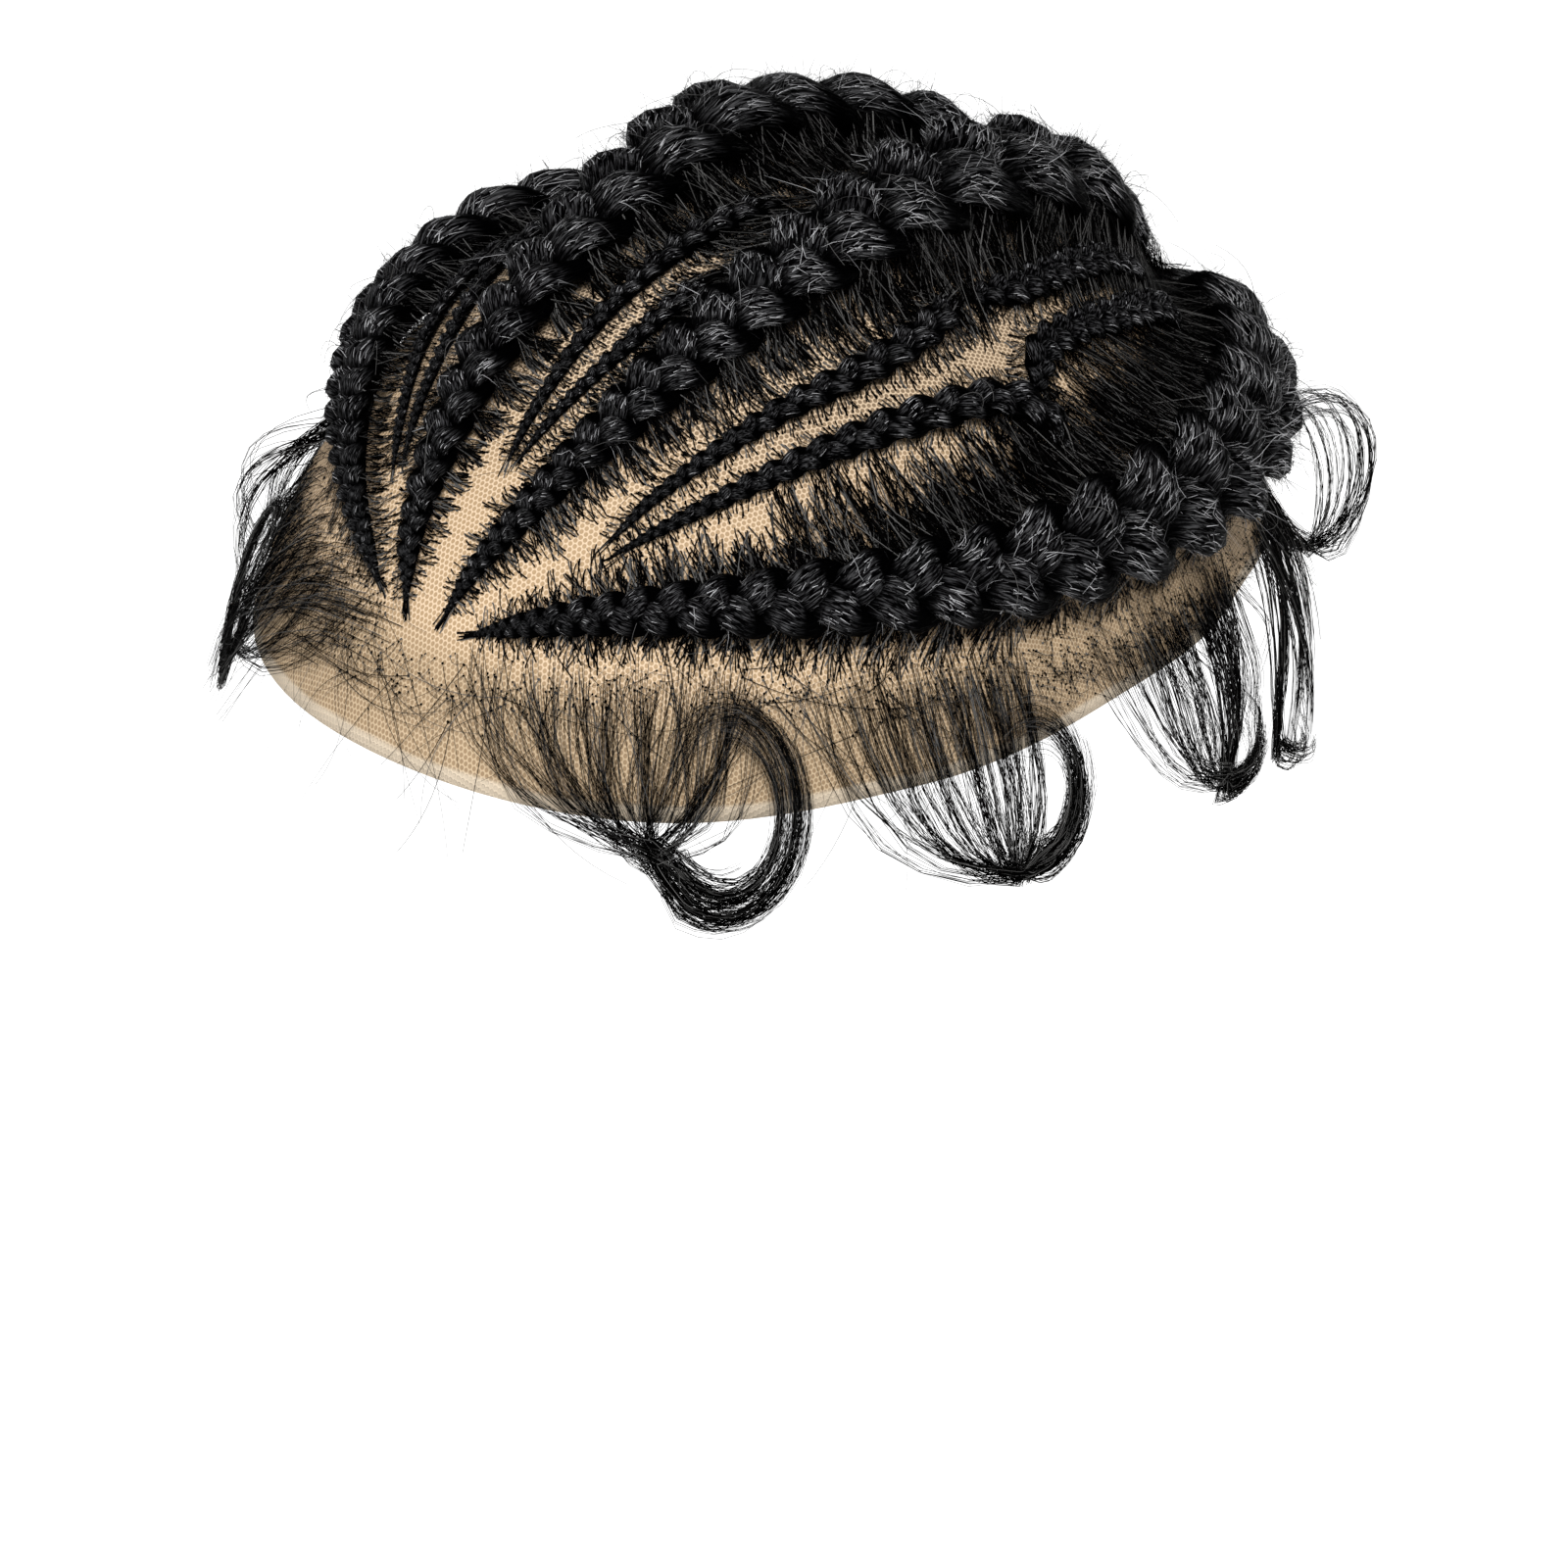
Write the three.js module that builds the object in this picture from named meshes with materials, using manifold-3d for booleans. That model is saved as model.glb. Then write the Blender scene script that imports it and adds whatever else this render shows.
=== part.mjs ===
// A cornrow toupee: a thin lace cap that carries four big feed-in cornrows, ten thin cornrows and
// loose baby hair round its edge. Millimetres, +Z up, front towards -Y, the wearer's left towards +X.
// The origin is the inside of the crown, where the cap sits on the top of the head.
import * as THREE from "three";
import { mergeVertices } from "three/addons/utils/BufferGeometryUtils.js";
import Module from "manifold-3d";

const wasm = await Module();
wasm.setup();

// Sizes of the head form that the inside of the cap follows, an ellipsoid.
const HEAD_WIDTH = 158;
const HEAD_LENGTH = 201;
const CROWN_HEIGHT = 88;

// Sizes of the cap.
const LACE_THICKNESS = 1.0;
const LACE_COLUMNS = 48;
const LACE_RINGS = 7;

// Room left under a piece that is sewn to the cap, and the tightest bend of the head under it.
const SEAT_GAP = 0.45;
const TIGHTEST_BEND = 70;

// Height of the point from which the cornrows fan out, in degrees above the widest level of the head.
const FAN_ELEVATION = 27;

// Shape of a plait: lobe length and slant are shares of its width.
const LOBE_LENGTH = 0.82;
const BIG_LOBE_EXTRA = 0.9;
const THIN_LOBE_EXTRA = 2.4;
const LOBE_SLANT = 0.62;
const FOOT_SHARE = 0.8;
const TAIL_SHARE = 0.55;

// Shape of a loose lock of baby hair.
const LOCK_THICKNESS = 0.8;
const LOCK_LIFT = LACE_THICKNESS + 1.15;
const ROOT_BAND_WIDTH = 3;
const LOCK_WIDTH = 9;
const CURL_WIDTH = 5;

// Colours of the hair and of the lace.
const hairMaterial = new THREE.MeshStandardMaterial({ color: 0x0d0d0f, roughness: 0.45, metalness: 0 });
const laceMaterial = new THREE.MeshStandardMaterial({ color: 0xd9b98f, roughness: 0.85, metalness: 0 });

// Lower edge of the cap: degrees above the widest level of the head, for each bearing from the front.
const RIM = [
  { bearing: 0, height: 17.4 },
  { bearing: 30, height: 16.7 },
  { bearing: 60, height: 18.2 },
  { bearing: 90, height: 19.2 },
  { bearing: 120, height: 17.0 },
  { bearing: 150, height: 11.5 },
  { bearing: 180, height: 9.0 },
];

// Big cornrows. A path station is [degrees away from the fan point, degrees round it from straight up,
// to the wearer's left]. Widths are in millimetres, growth in millimetres of width per millimetre of path,
// and the rise is the height as a share of the width.
const BIG_CORNROWS = [
  { name: "cornrow_left_edge", start: 2, growth: 0.145, full: 21.5, rise: 0.58,
    path: [[8, 56], [18, 58.5], [42, 60.3], [65, 58], [88, 51.5], [104, 43.5], [117, 32], [124, 21.5], [128.5, 8]] },
  { name: "cornrow_left_crown", start: 2, growth: 0.17, full: 24, rise: 0.56,
    path: [[6, 30], [11, 21.5], [22, 18.8], [42, 15.5], [68, 11], [85, 9.2], [100, 8], [118, 8]] },
  { name: "cornrow_right_crown", start: 2, growth: 0.19, full: 24, rise: 0.56,
    path: [[5, -22], [12, -22.5], [26, -18.5], [42, -16.2], [68, -15.5], [85, -17], [100, -14.5], [117, -10]] },
  { name: "cornrow_right_edge", start: 2, growth: 0.185, full: 22, rise: 0.66,
    path: [[8, -50], [20, -53], [33, -53.5], [49, -53], [65, -52.5], [88, -48.5], [104, -43], [117, -32],
      [124, -21.5], [128.5, -8]] },
];

// Thin cornrows, with the same columns.
const THIN_CORNROWS = [
  { name: "thin_plait_right_outer", start: 1.3, growth: 0.05, full: 5, rise: 0.6,
    path: [[20, -39.5], [28, -39.5], [38, -40.5], [50, -41], [64, -41]] },
  { name: "thin_plait_right_inner", start: 1.3, growth: 0.05, full: 5, rise: 0.6,
    path: [[21, -36], [30, -34], [49, -33.5], [66, -31]] },
  { name: "thin_plait_middle_right", start: 1.3, growth: 0.055, full: 5, rise: 0.6,
    path: [[21, 1.5], [27, -1], [40, -3], [54, -2.5], [66, -1]] },
  { name: "thin_plait_middle_left", start: 1.3, growth: 0.055, full: 4.6, rise: 0.6,
    path: [[22, 4], [29, 4.5], [40, 5.2], [50, 5.2]] },
  { name: "thin_plait_left_inner", start: 1.3, growth: 0.06, full: 5.6, rise: 0.6,
    path: [[23, 40], [29, 35], [43, 30.6], [58, 28.5], [66, 26], [71, 23]] },
  { name: "thin_plait_left_outer", start: 1.3, growth: 0.07, full: 6.4, rise: 0.6,
    path: [[23, 43.5], [30, 41.5], [46, 38.5], [62, 37], [70, 37], [74.5, 39.5], [76, 43.5]] },
  { name: "thin_plait_back_left_inner", start: 5.2, growth: 0, full: 5.2, rise: 0.6,
    path: [[74, 23.2], [80, 23.6], [88, 21.6], [100, 18.5], [110, 17.5]] },
  { name: "thin_plait_back_left_outer", start: 5.2, growth: 0, full: 5.2, rise: 0.6,
    path: [[77.5, 32], [84, 29.5], [93, 27.5], [105, 24.5], [111, 24]] },
  { name: "thin_plait_back_right_inner", start: 5.2, growth: 0, full: 5.2, rise: 0.6,
    path: [[74, -28], [80, -29], [88, -28.3], [100, -25.5], [108, -24]] },
  { name: "thin_plait_back_right_outer", start: 5.2, growth: 0, full: 5.2, rise: 0.6,
    path: [[77.5, -36.5], [84, -35.5], [93, -34], [103, -31.5], [106, -31]] },
];

// Loose hair. Each row is one swoop of the left side, mirrored for the right. Bearings and heights are in
// degrees: the roots run from one bearing to the other along the hairline, the locks fall to the gather
// point, and the curl is an arc round its own centre. Flare is how far the curl stands off, in millimetres.
const BABY_HAIR = [
  { name: "baby_hair_front", rootFrom: 7, rootTo: 38, rootHeight: [28, 28.6], locks: 3,
    gather: [30.5, 14], curl: { centre: [37, 18.3], radius: [6.6, 9.6], from: 212, to: 470 }, flare: 2 },
  { name: "baby_hair_temple", rootFrom: 47, rootTo: 76, rootHeight: [28.6, 27], locks: 3,
    gather: [71, 4.5], curl: { centre: [74, 13.8], radius: [6.4, 9], from: 255, to: 488 }, flare: 2 },
  { name: "baby_hair_side", rootFrom: 88, rootTo: 120, rootHeight: [26, 21], locks: 3,
    gather: [110, -1.5], curl: { centre: [111.5, 3.5], radius: [5, 5.4], from: 245, to: 420 }, flare: 4 },
  { name: "baby_hair_nape", rootFrom: 125, rootTo: 142, rootHeight: [19, 15], locks: 2,
    gather: [132, -9], curl: { centre: [134.5, -7], radius: [3, 4], from: 215, to: 380 }, flare: 8 },
  { name: "baby_hair_back", rootFrom: 147, rootTo: 166, rootHeight: [14, 11.6], locks: 2,
    gather: [156, 4], curl: { centre: [151, 9], radius: [7, 7.5], from: 312, to: 520 }, flare: 18 },
];

const head = new THREE.Vector3(HEAD_WIDTH / 2, HEAD_LENGTH / 2, CROWN_HEIGHT);
const headCentre = new THREE.Vector3(0, 0, -CROWN_HEIGHT);
const radians = THREE.MathUtils.degToRad;

// Point on the head form along a direction from its centre, raised off it by the lift.
function onHead(direction, lift) {
  const reach = 1 / direction.clone().divide(head).length();
  const point = direction.clone().multiplyScalar(reach);
  const normal = point.clone().divide(head).divide(head).normalize();
  return point.add(headCentre).addScaledVector(normal, lift);
}

// Outward normal of the head form below a point.
function outward(point) {
  return point.clone().sub(headCentre).divide(head).divide(head).normalize();
}

// Direction for degrees away from the fan point and degrees round it.
function fanDirection([away, round]) {
  const tilt = radians(FAN_ELEVATION);
  const front = new THREE.Vector3(0, -Math.cos(tilt), Math.sin(tilt));
  const up = new THREE.Vector3(0, Math.sin(tilt), Math.cos(tilt));
  const side = new THREE.Vector3(1, 0, 0);
  const turn = up.multiplyScalar(Math.cos(radians(round))).addScaledVector(side, Math.sin(radians(round)));
  return front.multiplyScalar(Math.cos(radians(away))).addScaledVector(turn, Math.sin(radians(away)));
}

// Direction for a bearing from the front, to the wearer's left, and a height in degrees.
function mapDirection(bearing, height) {
  const level = Math.cos(radians(height));
  const across = level * Math.sin(radians(bearing));
  const back = -level * Math.cos(radians(bearing));
  return new THREE.Vector3(across, back, Math.sin(radians(height)));
}

function meshFromArrays(points, triangles) {
  const geometry = new THREE.BufferGeometry();
  geometry.setAttribute("position", new THREE.Float32BufferAttribute(points.flatMap((p) => [p.x, p.y, p.z]), 3));
  geometry.setIndex(triangles.flat());
  return geometry;
}

// Closed skin over a row of rings that all hold the same number of points.
function loft(rings) {
  const count = rings[0].length;
  const points = rings.flat();
  const triangles = [];
  for (let i = 0; i + 1 < rings.length; i += 1) {
    for (let j = 0; j < count; j += 1) {
      const a = i * count + j;
      const b = i * count + (j + 1) % count;
      triangles.push([a, b, b + count], [a, b + count, a + count]);
    }
  }
  for (let j = 1; j + 1 < count; j += 1) {
    const last = (rings.length - 1) * count;
    triangles.push([0, j + 1, j], [last, last + j, last + j + 1]);
  }
  return meshFromArrays(points, triangles);
}

// Height of the cap's lower edge at a bearing, eased between the rows of the table.
function rimHeight(bearing) {
  const turn = Math.abs(THREE.MathUtils.euclideanModulo(bearing + 180, 360) - 180);
  const next = Math.max(1, RIM.findIndex((row) => row.bearing >= turn));
  const low = RIM[next - 1];
  const high = RIM[next];
  const share = THREE.MathUtils.smoothstep(turn, low.bearing, high.bearing);
  return THREE.MathUtils.lerp(low.height, high.height, share);
}

// The cap is an even shell: an outer and an inner skin that meet along the lower edge.
function laceGeometry() {
  const points = [];
  const triangles = [];
  const skinSize = LACE_COLUMNS * LACE_RINGS + 1;
  for (const lift of [LACE_THICKNESS, 0]) {
    for (let ring = 0; ring < LACE_RINGS; ring += 1) {
      for (let column = 0; column < LACE_COLUMNS; column += 1) {
        const bearing = 360 * column / LACE_COLUMNS;
        const height = THREE.MathUtils.lerp(rimHeight(bearing), 90, ring / LACE_RINGS);
        points.push(onHead(mapDirection(bearing, height), lift));
      }
    }
    points.push(onHead(new THREE.Vector3(0, 0, 1), lift));
  }
  const addFace = (skin, a, b, c) => {
    const base = skin * skinSize;
    triangles.push(skin === 0 ? [base + a, base + b, base + c] : [base + a, base + c, base + b]);
  };
  for (let column = 0; column < LACE_COLUMNS; column += 1) {
    const next = (column + 1) % LACE_COLUMNS;
    for (const skin of [0, 1]) {
      for (let ring = 0; ring + 1 < LACE_RINGS; ring += 1) {
        const low = ring * LACE_COLUMNS;
        const high = low + LACE_COLUMNS;
        addFace(skin, low + column, low + next, high + next);
        addFace(skin, low + column, high + next, high + column);
      }
      const top = (LACE_RINGS - 1) * LACE_COLUMNS;
      addFace(skin, top + column, top + next, skinSize - 1);
    }
    triangles.push([column, skinSize + column, skinSize + next], [column, skinSize + next, next]);
  }
  return meshFromArrays(points, triangles);
}

// Width of a cornrow at a distance along its path: hair is fed in until it is full, and the tail is tucked in.
function cornrowWidth(row, distance, length) {
  const grown = Math.min(row.full, row.start + row.growth * distance);
  const tail = THREE.MathUtils.smoothstep(length - distance, 0, 0.9 * row.full);
  return grown * THREE.MathUtils.lerp(TAIL_SHARE, 1, tail);
}

// Outline of a plait across its path, for the swell of its left and right lobe from 0 to 1. Each entry is
// [share of the half width, share of the height], from the left foot along the bottom to the right.
function bigOutline(left, right) {
  return [
    [-FOOT_SHARE, 0],
    [-FOOT_SHARE - 0.2 * left, 0.36],
    [-0.52 - 0.06 * left, 0.7 + 0.28 * left],
    [0, 0.72],
    [0.52 + 0.06 * right, 0.7 + 0.28 * right],
    [FOOT_SHARE + 0.2 * right, 0.36],
    [FOOT_SHARE, 0],
  ];
}

function thinOutline(left, right) {
  return [
    [-0.7, 0],
    [-0.72 - 0.28 * left, 0.45],
    [-0.2 + 0.25 * (right - left), 0.82 + 0.18 * Math.max(left, right)],
    [0.72 + 0.28 * right, 0.45],
    [0.7, 0],
  ];
}

// A plait along a path on the cap. Sections follow each other lobe by lobe, and each one is drawn back
// at its sides so that the lobes run outwards and back from the middle line.
function plaitGeometry(row, outline, swells, lobeExtra) {
  const curve = new THREE.CatmullRomCurve3(row.path.map((station) => onHead(fanDirection(station), 0)), false);
  curve.arcLengthDivisions = 400;
  const length = curve.getLength();
  const rings = [];
  const half = swells.length / 2;
  let distance = 0;
  for (let step = 0; distance <= length; step += 1) {
    const width = cornrowWidth(row, distance, length);
    const foot = FOOT_SHARE * width / 2;
    const seat = LACE_THICKNESS + SEAT_GAP + foot * foot / (2 * TIGHTEST_BEND);
    const middle = curve.getPointAt(distance / length);
    const normal = outward(middle);
    const along = curve.getTangentAt(distance / length);
    const side = new THREE.Vector3().crossVectors(along, normal).normalize();
    const left = swells[step % swells.length];
    const right = swells[(step + half) % swells.length];
    rings.push(outline(left, right).map(([across, high]) => {
      const place = middle.clone().sub(headCentre);
      place.addScaledVector(side, across * width / 2);
      place.addScaledVector(along, LOBE_SLANT * Math.abs(across) * width / 2);
      return onHead(place, seat + high * row.rise * width);
    }));
    distance += (LOBE_LENGTH * width + lobeExtra) / swells.length;
  }
  return loft(rings);
}

// A flat tapering lock along a row of points that lie off the head.
function lockGeometry(points, width, tipShare) {
  const rings = points.map((point, index) => {
    const before = points[Math.max(0, index - 1)];
    const after = points[Math.min(points.length - 1, index + 1)];
    const along = after.clone().sub(before).normalize();
    const normal = outward(point);
    const side = new THREE.Vector3().crossVectors(along, normal).normalize();
    const lean = new THREE.Vector3().crossVectors(side, along).normalize();
    const reach = width / 2 * THREE.MathUtils.lerp(1, tipShare, index / (points.length - 1));
    const rise = LOCK_THICKNESS / 2;
    return [
      point.clone().addScaledVector(side, -reach),
      point.clone().addScaledVector(lean, rise),
      point.clone().addScaledVector(side, reach),
      point.clone().addScaledVector(lean, -rise),
    ];
  });
  return loft(rings);
}

function toSolid(geometry) {
  const bare = geometry.clone();
  bare.deleteAttribute("normal");
  bare.deleteAttribute("uv");
  const welded = mergeVertices(bare, 1e-4);
  const vertProperties = new Float32Array(welded.attributes.position.array);
  const triVerts = new Uint32Array(welded.index.array);
  return new wasm.Manifold(new wasm.Mesh({ numProp: 3, vertProperties, triVerts }));
}

function fromSolid(solid) {
  const { vertProperties, triVerts } = solid.getMesh();
  const geometry = new THREE.BufferGeometry();
  geometry.setAttribute("position", new THREE.BufferAttribute(new Float32Array(vertProperties), 3));
  geometry.setIndex(new THREE.BufferAttribute(new Uint32Array(triVerts), 1));
  return geometry;
}

// One swoop of baby hair: a band of roots, locks that fall to the gather point, and the curl after it.
function babyHairGeometry(row, mirror) {
  const place = (bearing, height, lift) => onHead(mapDirection(mirror * bearing, height), lift);
  const rootAt = (share) => [
    THREE.MathUtils.lerp(row.rootFrom, row.rootTo, share),
    THREE.MathUtils.lerp(row.rootHeight[0], row.rootHeight[1], share),
  ];
  const band = [0, 0.25, 0.5, 0.75, 1].map((share) => place(...rootAt(share), LOCK_LIFT));
  let solid = toSolid(lockGeometry(band, ROOT_BAND_WIDTH, 1));
  const [gatherBearing, gatherHeight] = row.gather;
  for (let lock = 0; lock < row.locks; lock += 1) {
    const [bearing, height] = rootAt((lock + 0.3) / (row.locks - 0.4));
    const bend = [THREE.MathUtils.lerp(bearing, gatherBearing, 0.15), THREE.MathUtils.lerp(height, gatherHeight, 0.95)];
    const points = [0, 0.35, 0.7, 1].map((t) => {
      const first = (1 - t) * (1 - t);
      const second = 2 * t * (1 - t);
      const third = t * t;
      const turn = first * bearing + second * bend[0] + third * gatherBearing;
      const level = first * height + second * bend[1] + third * gatherHeight;
      return place(turn, level, LOCK_LIFT + 0.25 * row.flare * third);
    });
    solid = solid.add(toSolid(lockGeometry(points, LOCK_WIDTH, 0.45)));
  }
  const { centre, radius, from, to } = row.curl;
  const steps = 9;
  const curl = Array.from({ length: steps + 1 }, (_, step) => {
    const share = step / steps;
    const angle = radians(THREE.MathUtils.lerp(from, to, share));
    const lift = LOCK_LIFT + row.flare * (0.25 + 0.75 * Math.sin(Math.PI * share));
    return place(centre[0] + radius[0] * Math.cos(angle), centre[1] + radius[1] * Math.sin(angle), lift);
  });
  solid = solid.add(toSolid(lockGeometry(curl, CURL_WIDTH, 0.5)));
  return fromSolid(solid);
}

function addPiece(group, name, geometry, material) {
  geometry.computeVertexNormals();
  const mesh = new THREE.Mesh(geometry, material);
  mesh.name = name;
  group.add(mesh);
}

const toupee = new THREE.Group();
addPiece(toupee, "lace_base", laceGeometry(), laceMaterial);
for (const row of BIG_CORNROWS) {
  addPiece(toupee, row.name, plaitGeometry(row, bigOutline, [0, 0.75, 1, 0.75], BIG_LOBE_EXTRA), hairMaterial);
}
for (const row of THIN_CORNROWS) {
  addPiece(toupee, row.name, plaitGeometry(row, thinOutline, [0, 1], THIN_LOBE_EXTRA), hairMaterial);
}
for (const row of BABY_HAIR) {
  addPiece(toupee, `${row.name}_left`, babyHairGeometry(row, 1), hairMaterial);
  addPiece(toupee, `${row.name}_right`, babyHairGeometry(row, -1), hairMaterial);
}

export default toupee;
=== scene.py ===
# %% [markdown]
# A cornrow toupee is a hair piece on a net of beige lace. Four big feed-in cornrows fan from the front
# over the crown, pairs of thin plaits run between them, and fine baby hair is swept into curls along the
# edge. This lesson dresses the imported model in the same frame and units, so that no piece needs fitting.
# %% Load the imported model
import math

import bpy
import numpy as np
from mathutils import Matrix


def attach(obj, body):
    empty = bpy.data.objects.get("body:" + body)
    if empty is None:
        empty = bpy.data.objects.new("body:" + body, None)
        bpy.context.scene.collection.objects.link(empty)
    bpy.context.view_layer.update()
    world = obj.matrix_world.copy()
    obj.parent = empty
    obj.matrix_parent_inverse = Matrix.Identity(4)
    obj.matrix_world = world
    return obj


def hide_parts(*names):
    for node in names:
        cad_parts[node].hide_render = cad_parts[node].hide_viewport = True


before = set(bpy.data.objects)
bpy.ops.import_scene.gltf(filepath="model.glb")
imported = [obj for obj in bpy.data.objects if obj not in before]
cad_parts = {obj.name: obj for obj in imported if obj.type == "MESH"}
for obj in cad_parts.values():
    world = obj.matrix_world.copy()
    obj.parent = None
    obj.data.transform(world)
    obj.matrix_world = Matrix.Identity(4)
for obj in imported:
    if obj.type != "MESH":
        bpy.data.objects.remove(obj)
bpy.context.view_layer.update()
MM = 0.001

# %% [markdown]
# Every piece lies on the lace, and the worn lace is close to a part of an ellipsoid. That form could be
# read from the model's mesh, but three half sizes say the same. A direction from its centre and a lift off
# its skin place any point, in millimetres here and in metres once a mesh is made.
# %% The form of the worn lace
FORM = np.array([79.0, 100.5, 88.0])
FORM_CENTRE = np.array([0.0, 0.0, -88.0])
FAN_ELEVATION = math.radians(27)
LACE_TOP = 1.0


def unit(vectors):
    return vectors / np.linalg.norm(vectors, axis=-1, keepdims=True)


def skin_normal(points):
    return unit((points - FORM_CENTRE) / FORM**2)


def on_form(directions, lift=0.0):
    spots = directions / np.linalg.norm(directions / FORM, axis=-1, keepdims=True)
    normals = unit(spots / FORM**2)
    return FORM_CENTRE + spots + normals * np.asarray(lift)[..., None]


def by_compass(bearing, height):
    """A direction by its bearing from the front towards the left, and its height over the horizon."""
    bearing = np.radians(bearing)
    height = np.radians(height)
    level = np.cos(height)
    return np.stack([level * np.sin(bearing), -level * np.cos(bearing), np.sin(height)], axis=-1)


def by_fan(away, turn):
    """A direction by how far it is from the point where the rows meet, and its turn round that point."""
    away = np.radians(away)[..., None]
    turn = np.radians(turn)[..., None]
    front = np.array([0.0, -math.cos(FAN_ELEVATION), math.sin(FAN_ELEVATION)])
    top = np.array([0.0, math.sin(FAN_ELEVATION), math.cos(FAN_ELEVATION)])
    left = np.array([1.0, 0.0, 0.0])
    sideways = np.cos(turn) * top + np.sin(turn) * left
    return np.cos(away) * front + np.sin(away) * sideways


print("form of", FORM * 2, "mm under the lace")

# %% [markdown]
# The photograph looks down on the front left of the piece through a long lens. The camera comes first.
# Soft light from a wide sun and a pale sky stands in for a studio tent, and a pale floor lies far enough
# below for its shadow to be faint.
# %% Camera, light and floor
VIEW_BEARING = math.radians(41.3)
VIEW_ELEVATION = math.radians(32.6)
VIEW_DISTANCE = 1100.0
AIM = np.array([0.0, 6.0, -124.0])
AIM_RIGHT = -0.5
AIM_UP = 9.3
LENS_LENGTH = 142.5
SENSOR = 36.0
NEAREST = 0.05
FARTHEST = 60.0
SUN_SPREAD = math.radians(26)
SKY_STRENGTH = 0.13
FLOOR_LEVEL = -0.8
FLOOR_RADIUS = 9.0
FLOOR_SIDES = 64
WHITE = (1.0, 1.0, 1.0, 1.0)
scene = bpy.context.scene


def placed(name, data):
    """A new object in the scene."""
    made = bpy.data.objects.new(name, data)
    scene.collection.objects.link(made)
    return made


def add_light(name, kind, energy, place, aim, size):
    data = bpy.data.lights.new(name, kind)
    data.energy = energy
    if kind == "SUN":
        data.angle = size
    else:
        data.size = size
    light = placed(name, data)
    light.location = place
    way = np.array(place) - np.array(aim)
    level = math.hypot(way[0], way[1])
    light.rotation_euler = (math.atan2(level, way[2]), 0.0, math.atan2(way[0], -way[1]))


back_way = np.array([
    math.sin(VIEW_BEARING) * math.cos(VIEW_ELEVATION),
    -math.cos(VIEW_BEARING) * math.cos(VIEW_ELEVATION),
    math.sin(VIEW_ELEVATION),
])
right_way = np.array([math.cos(VIEW_BEARING), math.sin(VIEW_BEARING), 0.0])
up_way = np.cross(back_way, right_way)
eye = AIM + back_way * VIEW_DISTANCE + right_way * AIM_RIGHT + up_way * AIM_UP
camera_data = bpy.data.cameras.new("camera")
camera_data.lens = LENS_LENGTH
camera_data.sensor_width = SENSOR
camera_data.clip_start = NEAREST
camera_data.clip_end = FARTHEST
camera = placed("camera", camera_data)
camera_rows = np.column_stack([right_way, up_way, back_way, eye * MM]).tolist()
camera.matrix_world = Matrix([*camera_rows, [0.0, 0.0, 0.0, 1.0]])
scene.camera = camera
scene.view_settings.view_transform = "Standard"
add_light("wide_sun", "SUN", energy=3.7, place=(0.88, -0.92, 1.7), aim=(0.0, 0.0, 0.0), size=SUN_SPREAD)
add_light("front_panel", "AREA", energy=5.0, place=(-0.5, -1.2, 0.7), aim=(0.0, 0.0, -0.04), size=0.7)
world = bpy.data.worlds.new("pale_sky")
scene.world = world
world.use_nodes = True
sky = world.node_tree.nodes["Background"]
sky.inputs["Color"].default_value = WHITE
sky.inputs["Strength"].default_value = SKY_STRENGTH
floor_turns = np.linspace(0.0, 2 * math.pi, FLOOR_SIDES, endpoint=False)
floor_ring = [(FLOOR_RADIUS * math.cos(a), FLOOR_RADIUS * math.sin(a), FLOOR_LEVEL) for a in floor_turns]
floor_mesh = bpy.data.meshes.new("floor")
floor_mesh.from_pydata(floor_ring, [], [list(range(FLOOR_SIDES))])
floor = placed("floor", floor_mesh)
print("camera at", np.round(eye), "mm")

# %% [markdown]
# Node trees are long to write by hand, so three small classes shorten them. A tap is one output of a node,
# and sums or products of taps add the Math nodes for them. The bench adds any other node from its type,
# its settings and what goes into its sockets, and a made node gives out its taps. Materials and Geometry
# Nodes both use them.
# %% Bench for node trees


class Tap:
    """One output of a node. Sums and products of taps add the Math nodes for them."""

    def __init__(self, bench, socket):
        self.bench = bench
        self.socket = socket

    def __add__(self, other):
        return self.bench.sum("ADD", self, other)

    def __radd__(self, other):
        return self.bench.sum("ADD", other, self)

    def __sub__(self, other):
        return self.bench.sum("SUBTRACT", self, other)

    def __rsub__(self, other):
        return self.bench.sum("SUBTRACT", other, self)

    def __mul__(self, other):
        return self.bench.sum("MULTIPLY", self, other)

    def __rmul__(self, other):
        return self.bench.sum("MULTIPLY", other, self)

    def __pow__(self, other):
        return self.bench.sum("POWER", self, other)


class Made:
    """A node that was added. Its outputs are asked for by name or number."""

    def __init__(self, bench, node):
        self.bench = bench
        self.node = node

    def __getitem__(self, name):
        if isinstance(name, int):
            return Tap(self.bench, self.node.outputs[name])
        return Tap(self.bench, next(s for s in self.node.outputs if s.name == name and s.enabled))


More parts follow.
